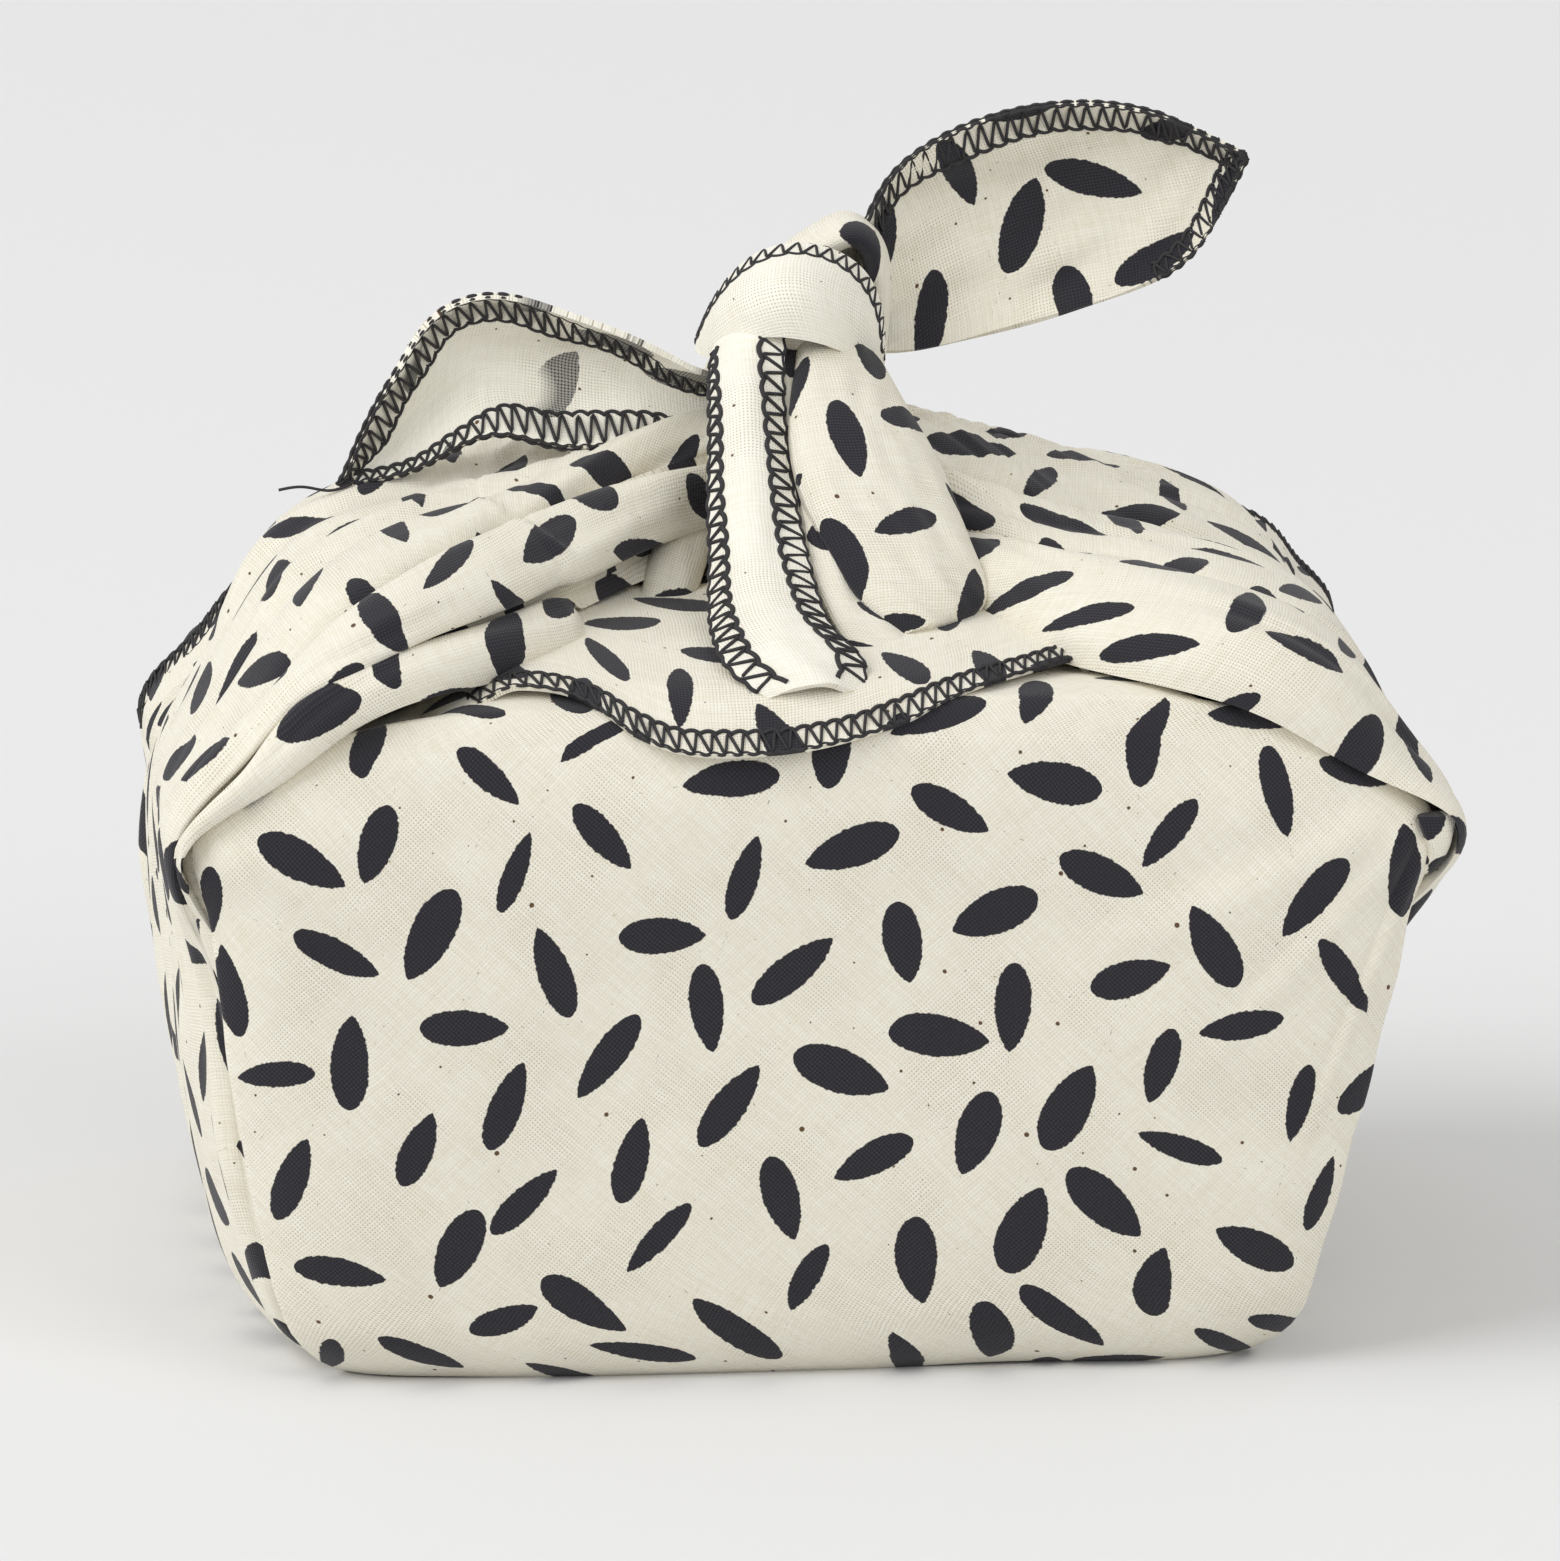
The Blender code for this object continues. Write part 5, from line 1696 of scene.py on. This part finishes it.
LOOSE_THREAD: Rows = ((-57.0, -2.6, 108.8), (-60.0, -3.4, 108.1), (-63.5, -3.6, 108.7), (-66.8, -3.4, 108.3))
FREE_ENDS = (
    FreeEnd(
        "left_end",
        lower=(
            (-2.0, 0, 115.5), (-9.4, -6, 113.6), (-19.1, -8, 114.5), (-29.8, -7, 114.2), (-38.0, -6.5, 115.8),
            (-45.8, -5, 112.4), (-51.0, -3, 109.8), (-58.6, -2, 108.3),
        ),
        upper=(
            (-1.5, 0, 123.0), (-9.2, -6, 123.4), (-19.0, -6, 128.1), (-29.7, -6, 132.4), (-39.2, -6, 134.6),
            (-44.6, -6, 133.0), (-49.9, -5, 126.5), (-54.8, -4, 117.6), (-58.3, -2, 108.9),
        ),
        hollow=((0.0, 1.0, 0.0), (0.2, 4.0, 0.3), (0.5, 6.5, 0.3), (0.75, 5.0, 0.0), (1.0, 0.2, 0.0)),
        plain_in_front=True,
        seams=(
            Seam(True, 0.13, ((0.0, 1.4), (0.2, 2.8), (0.4, 5.0), (0.9, 5.6), (1.0, 3.0)),
                 ((0.0, 3.2), (0.25, 2.2), (0.5, 0.3), (1.0, 0.0))),
            Seam(False, 0.13, ((0.0, 2.0), (0.15, 2.2), (0.28, 4.6), (0.42, 5.6), (0.58, 5.2), (0.68, 2.4),
                               (0.8, 1.6), (1.0, 1.2))),
        ),
        flat_at=(78.0, 455.0), seed=61,
    ),
    FreeEnd(
        "right_end",
        lower=(
            (5.0, 2, 126.0), (14.4, 2, 124.4), (25.0, 2, 125.7), (38.5, 2, 129.2), (49.2, 2, 132.6),
            (56.0, 2, 137.0), (60.0, 2, 143.0), (63.3, 2, 149.8),
        ),
        upper=(
            (5.0, 2, 136.0), (11.5, 2, 141.2), (15.5, 2, 148.3), (22.3, 2, 153.4), (30.4, 2, 156.4),
            (41.1, 2, 157.7), (51.9, 2, 155.8), (57.8, 2, 153.0), (63.1, 2, 150.3),
        ),
        hollow=((0.0, 0.5, 0.0), (0.3, 4.0, -0.4), (0.6, 5.5, 0.2), (0.85, 3.0, 0.4), (1.0, 0.1, 0.0)),
        plain_in_front=False,
        seams=(
            Seam(True, 0.12, ((0.0, 4.2), (0.8, 4.4), (1.0, 3.0))),
            Seam(False, 0.70, ((0.0, 2.0), (0.7, 2.0), (0.85, 3.4), (1.0, 3.4))),
        ),
        flat_at=(262.0, 432.0), seed=72,
    ),
)


@dataclass(frozen=True)
class Lamp:
    """A soft square light that looks at the wrap."""

    name: str
    place: Point
    size: float
    power: float

    def build(self) -> None:
        """Adds the light."""
        lamp = bpy.data.lights.new(self.name, "AREA")
        lamp.size, lamp.energy = self.size, self.power
        obj = link(bpy.data.objects.new(self.name, lamp))
        obj.location = self.place
        obj.rotation_euler = (Vector((0, 0, 0.07)) - Vector(self.place)).to_track_quat("-Z", "Y").to_euler()


@dataclass(frozen=True)
class Studio:
    """Pale floor, soft light and the camera at the photo's angle."""

    turn: float = -5.5
    height: float = 13.0
    distance: float = 2.0
    lens: float = 343.6
    sensor: float = 36.0
    target: Point = (0.0005, 0.0, 0.0664)
    sky: float = 0.63
    lamps: tuple[Lamp, ...] = (
        Lamp("key", (-4.4, -1.5, 4.0), 4.6, 214.0),
        Lamp("fill", (2.4, -3.8, 3.2), 3.0, 54.0),
    )
    floor_half_width: float = 4.0
    floor_front: float = -4.0
    floor_back: float = 3.0
    floor_bend: float = 0.9  # radius of the curve behind
    floor_top: float = 3.2

    def floor(self) -> None:
        """Makes one wide floor that curves up behind: level, then a quarter circle, then upright."""
        bend = np.linspace(0, np.pi / 2, 24)[1:]
        arc = self.floor_bend * np.stack([np.sin(bend), 1 - np.cos(bend)], axis=1) + (self.floor_back, 0.0)
        top = (self.floor_back + self.floor_bend, self.floor_top)
        profile = np.concatenate([[(self.floor_front, 0.0), (self.floor_back, 0.0)], arc, [top]])
        x = np.tile((-self.floor_half_width, self.floor_half_width), len(profile))
        points = np.column_stack([x, np.repeat(profile, 2, axis=0)])
        quads = np.arange(0, len(points) - 2, 2)[:, None] + (0, 1, 3, 2)
        mesh = bpy.data.meshes.new("pale_floor")
        mesh.from_pydata(points.tolist(), [], quads.tolist())
        mesh.materials.append(StageFinish().build())
        mesh.shade_smooth()
        link(bpy.data.objects.new("pale_floor", mesh))

    def camera(self) -> None:
        """Places the camera on a sphere round the target."""
        az, el = math.radians(self.turn), math.radians(self.height)
        away = Vector((math.sin(az) * math.cos(el), -math.cos(az) * math.cos(el), math.sin(el)))
        data = bpy.data.cameras.new("camera")
        data.lens, data.sensor_width = self.lens, self.sensor
        obj = link(bpy.data.objects.new("camera", data))
        obj.location = Vector(self.target) + away * self.distance
        obj.rotation_euler = (-away).to_track_quat("-Z", "Y").to_euler()
        bpy.context.scene.camera = obj

    def build(self) -> None:
        """Sets up floor, world, lights and camera."""
        self.floor()
        world = bpy.data.worlds.new("studio")
        world.use_nodes = True
        world.node_tree.nodes["Background"].inputs["Color"].default_value = (1.0, 1.0, 1.0, 1)
        world.node_tree.nodes["Background"].inputs["Strength"].default_value = self.sky
        bpy.context.scene.world = world
        for lamp in self.lamps:
            lamp.build()
        self.camera()
        bpy.context.scene.view_settings.view_transform = "Standard"


def dressed(finishes: Finishes) -> Iterator[Object]:
    """Builds the pieces of the wrap in order, the edging last, because every sewn piece adds to it."""
    shape = BundleShape()
    thread = Overlock("overlock_edging", finishes.thread)
    sides = (
        GatheredSide("left_gathers", Side.LEFT, LEFT_LINES, LEFT_CREASES, (1, 2), shape, finishes,
                     pocket=(0.575, 0.045, 14.0)),
        GatheredSide("right_gathers", Side.RIGHT, RIGHT_LINES, RIGHT_CREASES, (2,), shape, finishes),
    )
    yield from Bundle(shape, finishes).build()
    yield from (side.build(thread) for side in sides)
    yield TopFlap(shape, finishes).build(thread)
    yield from Knot(finishes).build(thread)
    yield from (puff.build(finishes) for puff in PUFFS)
    yield HangingBand(finishes).build(thread)
    yield from (end.build(finishes, thread) for end in FREE_ENDS)
    thread.tail(LOOSE_THREAD)
    yield thread.build()


def main() -> None:
    """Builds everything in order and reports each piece."""
    logging.basicConfig(level=logging.INFO, format="%(name)s: %(message)s")
    Studio().build()
    for obj in dressed(Finishes.make()):
        log.info("built %s", obj.name)


if __name__ == "__main__":
    main()
